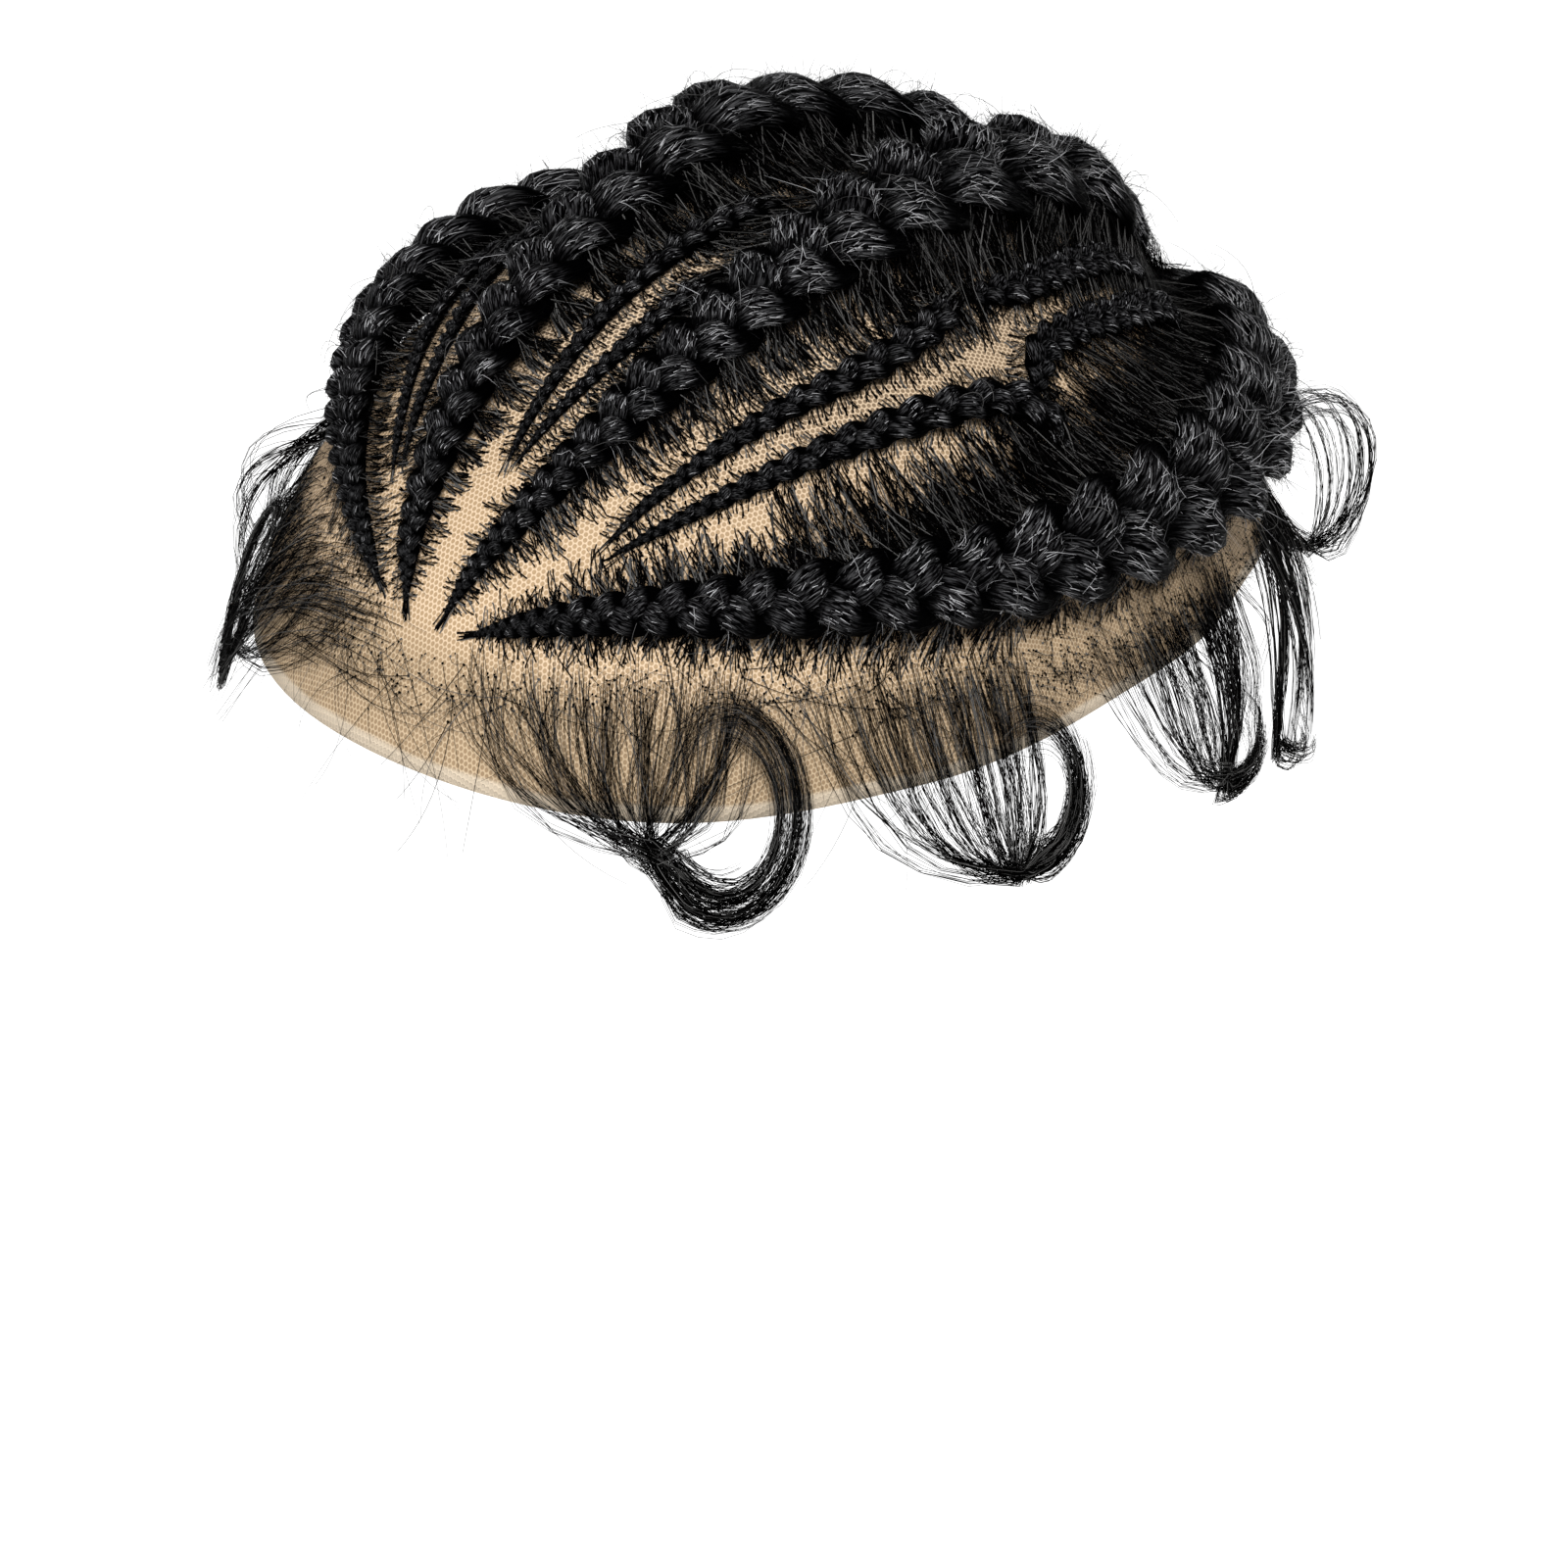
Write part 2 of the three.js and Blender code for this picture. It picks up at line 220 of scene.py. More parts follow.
class Bench:
    """Adds nodes to one tree."""

    def __init__(self, tree):
        self.tree = tree

    def node(self, kind, settings=None, sockets=None):
        made = self.tree.nodes.new(kind)
        for name, value in (settings or {}).items():
            setattr(made, name, value)
        for name, value in (sockets or {}).items():
            if isinstance(name, int):
                inlet = made.inputs[name]
            else:
                inlet = next(s for s in made.inputs if s.name == name and s.enabled)
            for part in value if isinstance(value, list) else [value]:
                if isinstance(part, Tap):
                    self.tree.links.new(part.socket, inlet)
                else:
                    inlet.default_value = part
        return Made(self, made)

    def is_vector(self, value):
        return isinstance(value, tuple) or (isinstance(value, Tap) and value.socket.type == "VECTOR")

    def sum(self, operation, first, second):
        vectors = [self.is_vector(first), self.is_vector(second)]
        if not any(vectors):
            return self.node("ShaderNodeMath", {"operation": operation}, {0: first, 1: second})[0]
        if operation == "MULTIPLY" and not all(vectors):
            way, factor = (first, second) if vectors[0] else (second, first)
            return self.node("ShaderNodeVectorMath", {"operation": "SCALE"}, {0: way, "Scale": factor})[0]
        return self.node("ShaderNodeVectorMath", {"operation": operation}, {0: first, 1: second})[0]

    def sine(self, value):
        return self.node("ShaderNodeMath", {"operation": "SINE"}, {0: value})[0]

    def cosine(self, value):
        return self.node("ShaderNodeMath", {"operation": "COSINE"}, {0: value})[0]

    def normalised(self, way):
        return self.node("ShaderNodeVectorMath", {"operation": "NORMALIZE"}, {0: way})[0]

    def step(self, value, low, high):
        sockets = {"Value": value, "From Min": low, "From Max": high}
        return self.node("ShaderNodeMapRange", {"interpolation_type": "SMOOTHSTEP"}, sockets)[0]

    def blend(self, factor, first, second):
        sockets = {"Factor": factor, "A": first, "B": second}
        return self.node("ShaderNodeMix", {"data_type": "RGBA"}, sockets)["Result"]

    def noise(self, vector, scale, detail=2.0):
        sockets = {"Vector": vector, "Scale": scale, "Detail": detail}
        return self.node("ShaderNodeTexNoise", None, sockets)["Fac"]

    def relief(self, height, strength, distance):
        sockets = {"Height": height, "Strength": strength, "Distance": distance}
        return self.node("ShaderNodeBump", None, sockets)["Normal"]

    def attribute(self, name):
        return self.node("ShaderNodeAttribute", {"attribute_name": name})["Fac"]

    def spot(self):
        return self.node("ShaderNodeTexCoord")["Object"]


def new_material(name):
    material = bpy.data.materials.new(name)
    material.use_nodes = True
    bench = Bench(material.node_tree)
    shader = material.node_tree.nodes["Principled BSDF"]
    return material, bench, shader


def feed(bench, shader, **sockets):
    for name, value in sockets.items():
        inlet = shader.inputs[name.replace("_", " ")]
        if isinstance(value, Tap):
            bench.tree.links.new(value.socket, inlet)
        else:
            inlet.default_value = value


print("bench ready")

# %% [markdown]
# The floor is white paper. One broad, weak noise keeps it from being a single flat colour.
# %% Floor paper
PAPER = (0.93, 0.93, 0.93, 1.0)
PAPER_LIT = (0.96, 0.96, 0.96, 1.0)
paper, bench, shader = new_material("floor_paper")
paper_tone = bench.blend(bench.noise(bench.spot(), 3.0), PAPER, PAPER_LIT)
feed(bench, shader, Base_Color=paper_tone, Roughness=0.9, Emission_Color=WHITE, Emission_Strength=0.3)
floor_mesh.materials.append(paper)
print("floor paper", paper.name)

# %% [markdown]
# Hair is almost black and shines along its fibres. There are three finishes. The smooth body of a plait has
# fine grey streaks of painted sheen, painted only on its crests as a painted highlight. The fibres on it, and
# the loose hair, which is finer and duller, take their colour from a number that each fibre carries and a
# slow noise, so that neighbours differ: these pick which fibres get a grey painted glint, on plaits near
# crests.
# %% Hair finishes
HAIR_BLACK = (0.0003, 0.0003, 0.0004, 1.0)
# Grey of the painted sheen on the plait body.
HAIR_SHEEN = (0.065, 0.065, 0.068, 1.0)
HAIR_DEEP = (0.0006, 0.0006, 0.0007, 1.0)
# HAIR_LIT and LOOSE_LIT are the grey of painted glints on some fibres; the deep colours are the hair's own
# black.
HAIR_LIT = (0.50, 0.50, 0.515, 1.0)
LOOSE_DEEP = (0.0008, 0.0007, 0.0007, 1.0)
LOOSE_LIT = (0.125, 0.123, 0.120, 1.0)
# Where on the crest the painted highlight begins and where it is full.
CREST_LIT = (0.05, 1.0)


def body_finish():
    material, bench, shader = new_material("plait_body")
    along = bench.attribute("along")
    grain_spot = {"X": bench.attribute("around"), "Y": along * 2.6, "Z": along * 0.2}
    grain = bench.noise(bench.node("ShaderNodeCombineXYZ", None, grain_spot)[0], 1.0, 3.0)
    # Streaks of painted sheen, kept to the crests as a painted highlight, so the notches stay black as
    # painted shade.
    sheen_streak = bench.step(grain, 0.45, 0.70) * bench.step(bench.attribute("crest"), *CREST_LIT)
    tone = bench.blend(sheen_streak, HAIR_BLACK, HAIR_SHEEN)
    relief = bench.relief(grain, strength=0.9, distance=0.0005)
    feed(bench, shader, Base_Color=tone, Roughness=0.4 + grain * 0.2, Normal=relief, Specular_IOR_Level=0.004)
    return material


def fibre_finish(name, deep, lit, darkest, roughness, gloss):
    material, bench, shader = new_material(name)
    drift = bench.noise(bench.spot(), 90.0)
    # How much painted glint a fibre gets, from its number and a slow noise.
    light = bench.step(bench.attribute("shade") * 0.8 + drift * 0.3, darkest, 1.0)
    tone = bench.blend(light, deep, lit)
    feed(bench, shader, Base_Color=tone, Roughness=roughness + drift * 0.15, Specular_IOR_Level=gloss)
    return material


plait_body = body_finish()
plait_fibre = fibre_finish("plait_fibre", HAIR_DEEP, HAIR_LIT, darkest=0.40, roughness=0.28, gloss=0.02)
loose_fibre = fibre_finish("loose_fibre", LOOSE_DEEP, LOOSE_LIT, darkest=0.70, roughness=0.36, gloss=0.004)
print("hair finishes", plait_body.name, plait_fibre.name, loose_fibre.name)

# %% [markdown]
# The lace is one sheet of fine hexagon net, cut as an oval and stretched over its form. A grid of rings
# from the rim to the crown gives it a clean mesh. Its flat coordinates unroll it from the crown, and the
# wall is two skins half a millimetre apart that are joined round the rim.
# %% The lace sheet
RIM_BEARINGS = np.array([0.0, 30.0, 60.0, 90.0, 120.0, 150.0, 180.0])
RIM_HEIGHTS = np.array([17.4, 16.7, 18.2, 19.2, 17.0, 11.5, 9.0])
LACE_OUT = 0.95
LACE_IN = 0.45
LACE_SPOKES = 144
LACE_RINGS = 34
FLAT_PER_RADIAN = 92.0
FLAT_SPAN = 320.0
EDGE_GAP_PER_DEGREE = 1.6


def eased(share):
    """A smooth step from 0 to 1."""
    return share * share * (3 - 2 * share)


def keep_values(mesh, name, values):
    """Stores a number or a vector on each point of the mesh."""
    kind, slot = ("FLOAT", "value") if values.ndim == 1 else ("FLOAT_VECTOR", "vector")
    data = mesh.attributes.new(name, kind, "POINT").data
    data.foreach_set(slot, values.astype(np.float32).ravel())


def rim_height(bearing):
    bearing = np.abs((np.asarray(bearing) + 180.0) % 360.0 - 180.0)
    slot = np.clip(np.searchsorted(RIM_BEARINGS, bearing, side="right") - 1, 0, len(RIM_BEARINGS) - 2)
    share = (bearing - RIM_BEARINGS[slot]) / (RIM_BEARINGS[slot + 1] - RIM_BEARINGS[slot])
    return RIM_HEIGHTS[slot] + (RIM_HEIGHTS[slot + 1] - RIM_HEIGHTS[slot]) * eased(share)


def lace_skin(lift):
    bearing = np.arange(LACE_SPOKES) * 360.0 / LACE_SPOKES
    share = np.arange(LACE_RINGS) / LACE_RINGS
    rim = rim_height(bearing)
    height = rim[None, :] + (90.0 - rim[None, :]) * share[:, None]
    ways = by_compass(np.broadcast_to(bearing, height.shape), height)
    rings = on_form(ways, np.full(height.shape, lift))
    crown = on_form(np.array([[0.0, 0.0, 1.0]]), np.array([lift]))
    return np.concatenate([rings.reshape(-1, 3), crown])


def lace_faces(offset, flip):
    faces = []
    crown = offset + LACE_SPOKES * LACE_RINGS
    for ring in range(LACE_RINGS):
        for spoke in range(LACE_SPOKES):
            here = offset + ring * LACE_SPOKES + spoke
            beside = offset + ring * LACE_SPOKES + (spoke + 1) % LACE_SPOKES
            if ring == LACE_RINGS - 1:
                face = [here, beside, crown]
            else:
                face = [here, beside, beside + LACE_SPOKES, here + LACE_SPOKES]
            faces.append(face[::-1] if flip else face)
    return faces


outer_skin = lace_skin(LACE_OUT)
inner_start = len(outer_skin)
lace_points = np.concatenate([outer_skin, lace_skin(LACE_IN)])
rim_faces = []
for spoke in range(LACE_SPOKES):
    beside = (spoke + 1) % LACE_SPOKES
    rim_faces.append([spoke, inner_start + spoke, inner_start + beside, beside])
all_faces = lace_faces(0, False) + lace_faces(inner_start, True) + rim_faces
lace_mesh = bpy.data.meshes.new("lace_sheet")
lace_mesh.from_pydata(lace_points * MM, [], all_faces)
crown_way = unit(lace_points - FORM_CENTRE)
from_crown = np.arccos(np.clip(crown_way[:, 2], -1.0, 1.0))
flat_radius = from_crown * FLAT_PER_RADIAN
flat_turn = np.arctan2(crown_way[:, 0], -crown_way[:, 1])
flat = np.stack([flat_radius * np.sin(flat_turn), flat_radius * np.cos(flat_turn)], axis=1)
over_rim = 90.0 - np.degrees(from_crown) - rim_height(np.degrees(flat_turn))
keep_values(lace_mesh, "flat_x", flat[:, 0])
keep_values(lace_mesh, "flat_y", flat[:, 1])
keep_values(lace_mesh, "to_rim", over_rim * EDGE_GAP_PER_DEGREE)
lace_uv = lace_mesh.uv_layers.new(name="UVMap")
loop_points = np.empty(len(lace_mesh.loops), dtype=np.int32)
lace_mesh.loops.foreach_get("vertex_index", loop_points)
lace_uv.data.foreach_set("uv", ((flat / FLAT_SPAN + 0.5)[loop_points]).astype(np.float32).ravel())
lace_mesh.polygons.foreach_set("use_smooth", np.ones(len(lace_mesh.polygons), dtype=bool))
lace_sheet = placed("lace_sheet", lace_mesh)
print("lace sheet of", len(lace_mesh.polygons), "faces")

# %% [markdown]
# The net is a honeycomb of about a millimetre. Three cosine waves at 120 degrees add up to it without
# any grid: their sum is high in the middle of each cell and low along its walls. The threads are pale. The
# cells are painted as the warm backing seen through the holes with painted shade in them, and they darken
# towards the crown as painted shade of the hair over the net. A pale band closes the cut edge.
# %% Lace finish
NET_CELL = 0.98
THREAD = (0.72, 0.55, 0.38, 1.0)
# The cell colour is painted as the warm backing seen through the holes, with painted shade in them.
CELL = (0.40, 0.27, 0.15, 1.0)
CROWN_SHADE_CELL = (0.15, 0.105, 0.065, 1.0)
BARE_THREAD = (0.53, 0.40, 0.26, 1.0)
BARE_CELL = (0.30, 0.205, 0.115, 1.0)
WORN = (0.55, 0.41, 0.27, 1.0)
EDGE_BAND = (0.70, 0.60, 0.47, 1.0)
# Each pair is where a change starts and ends, in millimetres from the cut edge.
BAND_END = (2.6, 3.6)
SHEER_END = (6.0, 20.0)
BARE_END = (14.0, 24.0)
CROWN_SHADE_START = (40.0, 80.0)
net, bench, shader = new_material("lace_net")
flat_x = bench.attribute("flat_x")
flat_y = bench.attribute("flat_y")
edge_gap = bench.attribute("to_rim")
wave = 4.0 * math.pi / (math.sqrt(3.0) * NET_CELL)
slanted = flat_x * (math.sqrt(3.0) / 2)
first_wave = bench.cosine(flat_y * wave)
second_wave = bench.cosine((slanted - flat_y * 0.5) * wave)
third_wave = bench.cosine((slanted + flat_y * 0.5) * wave)
thread = 1.0 - bench.step(first_wave + second_wave + third_wave, -1.0, 0.1)
wear = bench.noise(bench.spot(), 55.0)
bare = 1.0 - bench.step(edge_gap, *BARE_END)
thread_tone = bench.blend(bare, THREAD, BARE_THREAD)
# Towards the crown the cells darken as painted shade of the hair over the net.
cell_tone = bench.blend(bench.step(edge_gap, *CROWN_SHADE_START), CELL, CROWN_SHADE_CELL)
cell_tone = bench.blend(bare, cell_tone, BARE_CELL)
net_tone = bench.blend(thread, cell_tone, thread_tone)
net_tone = bench.blend(wear * 0.22, net_tone, WORN)
band = 1.0 - bench.step(edge_gap + wear * 1.5, *BAND_END)
net_tone = bench.blend(band * 0.75, net_tone, EDGE_BAND)
sheer = (1.0 - bench.step(edge_gap, *SHEER_END)) * (1.0 - thread)
net_relief = bench.relief(thread, strength=0.6, distance=0.0002)
feed(bench, shader, Base_Color=net_tone, Roughness=0.62 + thread * 0.1, Normal=net_relief)
feed(bench, shader, Alpha=1.0 - sheer * 0.06, Specular_IOR_Level=0.1)
lace_mesh.materials.append(net)
print("net cell", NET_CELL, "mm")

# %% [markdown]
# Each row of plaited hair follows a line over the lace. The lines are smooth curves through a few stations,
# and a row starts as a thread and grows as hair is fed into it. Each row keeps its line by distance, with
# the ways along, across and out of the lace, because the plait and the root hairs both follow it.
# %% The rows
FOOT_ROOM = 0.3
FOOT_SHARE = 0.4
TIGHTEST_BEND = 70.0
SLACK_PERIOD = 3.1
EARLY_LENGTH = 25.0
TIP_LENGTH = 9.0
TIP_SHARE = 0.35
TAIL_SHARE = 0.55
TAIL_WIDTHS = 0.9
STATION_STEPS = 60
FINE_STEPS = 2000


def smooth_line(points, per_span):
    """A centripetal Catmull-Rom line through the points."""
    ends = np.concatenate([[2 * points[0] - points[1]], points, [2 * points[-1] - points[-2]]])
    share = np.linspace(0.0, 1.0, per_span, endpoint=False)[:, None]
    line = []
    for p0, p1, p2, p3 in zip(ends[:-3], ends[1:-2], ends[2:-1], ends[3:]):
        gap0 = math.sqrt(np.linalg.norm(p1 - p0))
        gap1 = math.sqrt(np.linalg.norm(p2 - p1))
        gap2 = math.sqrt(np.linalg.norm(p3 - p2))
        start = ((p1 - p0) / gap0 - (p2 - p0) / (gap0 + gap1) + (p2 - p1) / gap1) * gap1
        stop = ((p2 - p1) / gap1 - (p3 - p1) / (gap1 + gap2) + (p3 - p2) / gap2) * gap1
        cubic = 2 * p1 - 2 * p2 + start + stop
        square = -3 * p1 + 3 * p2 - 2 * start - stop
        line.append(p1 + start * share + square * share**2 + cubic * share**3)
    return np.concatenate([*line, points[-1:]])


class Row:
    """A line over the lace with the width of its plait at each distance, in millimetres."""

    def __init__(self, name, start, growth, full, rise, stations, period=2.1, early=0.0):
        self.name = name
        self.start = start
        self.growth = growth
        self.full = full
        self.rise = rise
        self.period = period
        self.early = early
        stations = np.array(stations, dtype=float)
        self.line = smooth_line(on_form(by_fan(stations[:, 0], stations[:, 1])), STATION_STEPS)
        steps = np.linalg.norm(np.diff(self.line, axis=0), axis=1)
        self.distance = np.concatenate([[0.0], np.cumsum(steps)])
        self.length = self.distance[-1]
        self.fine = np.linspace(0.0, self.length, FINE_STEPS)
        rate = 2 * math.pi / (period * self.width(self.fine))
        self.turned = np.concatenate([[0.0], np.cumsum((rate[1:] + rate[:-1]) / 2 * np.diff(self.fine))])

    def width(self, distance):
        first = self.early * (1.0 - np.exp(-distance / EARLY_LENGTH))
        grown = np.minimum(self.full, self.start + first + self.growth * distance)
        left = np.clip((self.length - distance) / (TAIL_WIDTHS * self.full), 0.0, 1.0)
        tip = np.clip(distance / TIP_LENGTH, 0.0, 1.0)
        tail_share = TAIL_SHARE + (1 - TAIL_SHARE) * eased(left)
        return grown * tail_share * (TIP_SHARE + (1 - TIP_SHARE) * tip * (2 - tip))

    def seat(self, distance):
        return LACE_TOP + FOOT_ROOM + (FOOT_SHARE * self.width(distance)) ** 2 / (2 * TIGHTEST_BEND)

    def turn(self, distance):
        return np.interp(distance, self.fine, self.turned)

    def at_turn(self, turn):
        return np.interp(turn, self.turned, self.fine)

    def spot(self, distance):
        return np.stack([np.interp(distance, self.distance, self.line[:, k]) for k in range(3)], axis=-1)

    def ways(self, distance):
        ahead = self.spot(np.minimum(distance + 0.5, self.length))
        behind = self.spot(np.maximum(distance - 0.5, 0.0))
        along = unit(ahead - behind)
        out = skin_normal(self.spot(distance))
        across = unit(np.cross(along, out))
        return along, out, across


# A station is the degrees away from the point where the rows meet, and the degrees round it to the left.
BIG_ROWS = [
    Row("cornrow_left_edge", 2, 0.125, 21.5, 0.58, [
        [8, 56], [18, 58.5], [42, 60.3], [65, 57.5], [88, 50.3], [104, 42.3], [117, 31.5],
        [124, 21.5], [128.5, 8]], early=3.2),
    Row("cornrow_left_crown", 2, 0.17, 24, 0.56, [
        [6, 30], [11, 21.5], [22, 18.8], [42, 15.5], [68, 11], [85, 9.2], [100, 8], [118, 8]]),
    Row("cornrow_right_crown", 2, 0.175, 24, 0.56, [
        [5, -22], [12, -22.5], [26, -18.5], [42, -16.2], [68, -15.5], [85, -17], [100, -14.5],
        [117, -10]], early=2.4),
    Row("cornrow_right_edge", 2, 0.185, 22, 0.66, [
        [8, -50], [20, -53], [33, -53.5], [49, -53], [65, -52.5], [88, -48.5], [104, -43], [117, -32],
        [124, -21.5], [128.5, -8]]),
]
THIN_ROWS = [
    Row("thin_plait_right_outer", 1.4, 0.065, 5.2, 0.6, [
        [20, -39.5], [28, -39.5], [38, -40.5], [50, -41], [64, -41]], SLACK_PERIOD),
    Row("thin_plait_right_inner", 1.4, 0.065, 5.2, 0.6, [
        [21, -36], [30, -34], [49, -33.5], [66, -31]], SLACK_PERIOD),
    Row("thin_plait_middle_right", 1.4, 0.075, 5.4, 0.6, [
        [21, 1.5], [27, -1], [40, -3], [54, -2.5], [66, -1]], SLACK_PERIOD),
    Row("thin_plait_middle_left", 1.4, 0.075, 5.0, 0.6, [
        [22, 4], [29, 4.5], [40, 5.2], [50, 5.2]], SLACK_PERIOD),
    Row("thin_plait_left_inner", 1.4, 0.085, 6.0, 0.6, [
        [23, 40], [29, 35], [43, 30.6], [58, 28.5], [66, 26], [71, 23]], SLACK_PERIOD),
    Row("thin_plait_left_outer", 1.4, 0.095, 6.6, 0.6, [
        [23, 43.5], [30, 41.5], [46, 38.5], [62, 37], [70, 37], [74.5, 39.5], [76, 43.5]], SLACK_PERIOD),
    Row("thin_plait_back_left_inner", 6.8, 0, 6.8, 0.55, [
        [74, 23.2], [80, 23.6], [88, 21.6], [100, 18.5], [110, 17.5]]),
    Row("thin_plait_back_left_outer", 6.8, 0, 6.8, 0.55, [
        [75.8, 36], [78, 32], [84, 29.5], [93, 27.5], [105, 24.5], [111, 24]]),
    Row("thin_plait_back_right_inner", 6.8, 0, 6.8, 0.55, [
        [74, -28], [80, -29], [88, -28.3], [100, -25.5], [108, -24]]),
    Row("thin_plait_back_right_outer", 6.8, 0, 6.8, 0.55, [
        [77.5, -36.5], [84, -35.5], [93, -34], [103, -31.5], [106, -31]]),
]
for row in BIG_ROWS + THIN_ROWS:
    print(row.name, round(row.length), "mm long,", round(row.turned[-1] / (2 * math.pi), 1), "turns")

# %% [markdown]
# A plait is three strands that weave by one rule: each swings across as a sine, and rises and dips twice as
# often. A modelled link could be repeated along a curve, but the row grows all the way, so Geometry Nodes
# move three copies of the row's line by that rule, sweep an oval along each, and lay short fibres on them.
# Two straight strands fill the hollow under them, where the fed-in hair is on the real row.
# %% Tree for a plait
ZIGZAG = 0.1
CORE_ASIDE = 0.17
CORE_DEPTH = 1.15
CORE_SIZE = 0.8
STRAND_SIDES = 9
PAST_EDGE = 0.6


def tree_with_inputs(name, inputs):
    tree = bpy.data.node_groups.new(name, "GeometryNodeTree")
    tree.interface.new_socket("Geometry", in_out="INPUT", socket_type="NodeSocketGeometry")
    for label, kind in inputs.items():
        tree.interface.new_socket(label, in_out="INPUT", socket_type=kind)
    tree.interface.new_socket("Geometry", in_out="OUTPUT", socket_type="NodeSocketGeometry")
    bench = Bench(tree)
    return tree, bench, bench.node("NodeGroupInput")


def finished(bench, geometry, material):
    """The smooth, realized geometry in its material."""
    smooth = bench.node("GeometryNodeSetShadeSmooth", None, {"Geometry": geometry})[0]
    realized = bench.node("GeometryNodeRealizeInstances", None, {"Geometry": smooth})[0]
    return bench.node("GeometryNodeSetMaterial", None, {"Geometry": realized, "Material": material})[0]


def joined(bench, parts):
    return bench.node("GeometryNodeJoinGeometry", None, {"Geometry": parts})[0]


def shifted(bench, geometry, offset):
    return bench.node("GeometryNodeSetPosition", None, {"Geometry": geometry, "Offset": offset})[0]


def named(bench, name, kind="FLOAT"):
    return bench.node("GeometryNodeInputNamedAttribute", {"data_type": kind}, {"Name": name})["Attribute"]


def store(bench, geometry, name, value, kind="FLOAT", domain="POINT"):
    settings = {"data_type": kind, "domain": domain}
    sockets = {"Geometry": geometry, "Name": name, "Value": value}
    return bench.node("GeometryNodeStoreNamedAttribute", settings, sockets)[0]


def chance(bench, low, high, seed):
    return bench.node("FunctionNodeRandomValue", None, {"Min": low, "Max": high, "Seed": seed})["Value"]


def along_line(bench):
    return bench.node("GeometryNodeSplineParameter")["Factor"]


def faced(bench, lines, way):
    """The lines with this way as their normal, which a swept ribbon faces."""
    sockets = {"Curve": lines, "Normal": bench.normalised(way)}
    return bench.node("GeometryNodeSetCurveNormal", {"mode": "FREE"}, sockets)[0]


def ribbon(bench, lines, half_width):
    """A flat ribbon along each line, for hair that lies on something and is seen from outside only."""
    ends = {"Start": (0.0, -1.0, 0.0), "End": (0.0, 1.0, 0.0)}
    across = bench.node("GeometryNodeCurvePrimitiveLine", {"mode": "POINTS"}, ends)[0]
    sweep = {"Curve": lines, "Profile Curve": across, "Scale": half_width}
    return bench.node("GeometryNodeCurveToMesh", None, sweep)[0]


def lay_fibres(bench, given, strands, label, points, crowd, slant, seed):
    """Short cuts of the strands, moved out to their skin. Their ends stand off it by the lift."""
    copies = {"Geometry": strands, "Amount": given[label + " Count"]}
    lines = bench.node("GeometryNodeDuplicateElements", {"domain": "SPLINE"}, copies)[0]
    own_values = {
        "angle": chance(bench, -PAST_EDGE, math.pi + PAST_EDGE, seed),
        "shade": chance(bench, 0.0, 1.0, seed + 1.0),
        "loose": chance(bench, 0.0, 1.0, seed + 2.0) ** 2.0,
        "drift": chance(bench, -slant, slant, seed + 5.0),
    }
    for name, value in own_values.items():
        lines = store(bench, lines, name, value, domain="CURVE")
    begin = chance(bench, 0.0, 1.0, seed + 3.0) ** crowd
    reach = given[label + " Share"] * (0.25 + begin * 0.75) * chance(bench, 0.5, 1.5, seed + 4.0)
    ends = {"Curve": lines, "Start": begin, "End": begin + reach}
    cut = bench.node("GeometryNodeTrimCurve", {"mode": "FACTOR"}, ends)[0]
    cut = bench.node("GeometryNodeResampleCurve", {"mode": "COUNT"}, {"Curve": cut, "Count": points})[0]
    # Fibre glints are painted only near the crests, as a painted highlight; lower down the fibres stay black
    # as painted shade.
    lit = bench.step(named(bench, "crest"), *CREST_LIT)
    cut = store(bench, cut, "shade", named(bench, "shade") * lit)
    factor = along_line(bench)
    stout = named(bench, "stout")
    angle = named(bench, "angle") + (factor - 0.5) * named(bench, "drift")
    ends_off = (factor - 0.35) * (factor - 0.35) * 2.4
    lift = 1.01 + given[label + " Lift"] * named(bench, "loose") * ends_off
    side = named(bench, "side", "FLOAT_VECTOR") * bench.cosine(angle)
    out = named(bench, "out", "FLOAT_VECTOR") * bench.sine(angle)
    offset = (side * given["Strand Width"] + out * given["Strand Height"]) * (stout * lift)
    cut = faced(bench, cut, side * given["Strand Height"] + out * given["Strand Width"])
    slim = bench.node("ShaderNodeMath", {"operation": "MINIMUM"}, {0: 0.4 + stout * 50.0, 1: 1.0})[0]
    half_width = given[label + " Radius"] * slim * (1.0 - factor * factor * 0.7)
    return ribbon(bench, shifted(bench, cut, offset), half_width)


def plait_inputs():
    sizes = ("Swing", "Arch", "Strand Width", "Strand Height", "Swell", "Grain")
    inputs = {name: "NodeSocketFloat" for name in sizes}
    for label in ("Fibre", "Frizz"):
        inputs[label + " Count"] = "NodeSocketInt"
        for size in ("Share", "Radius", "Lift"):
            inputs[f"{label} {size}"] = "NodeSocketFloat"
    return {**inputs, "Seed": "NodeSocketInt", "Body": "NodeSocketMaterial", "Hair": "NodeSocketMaterial"}


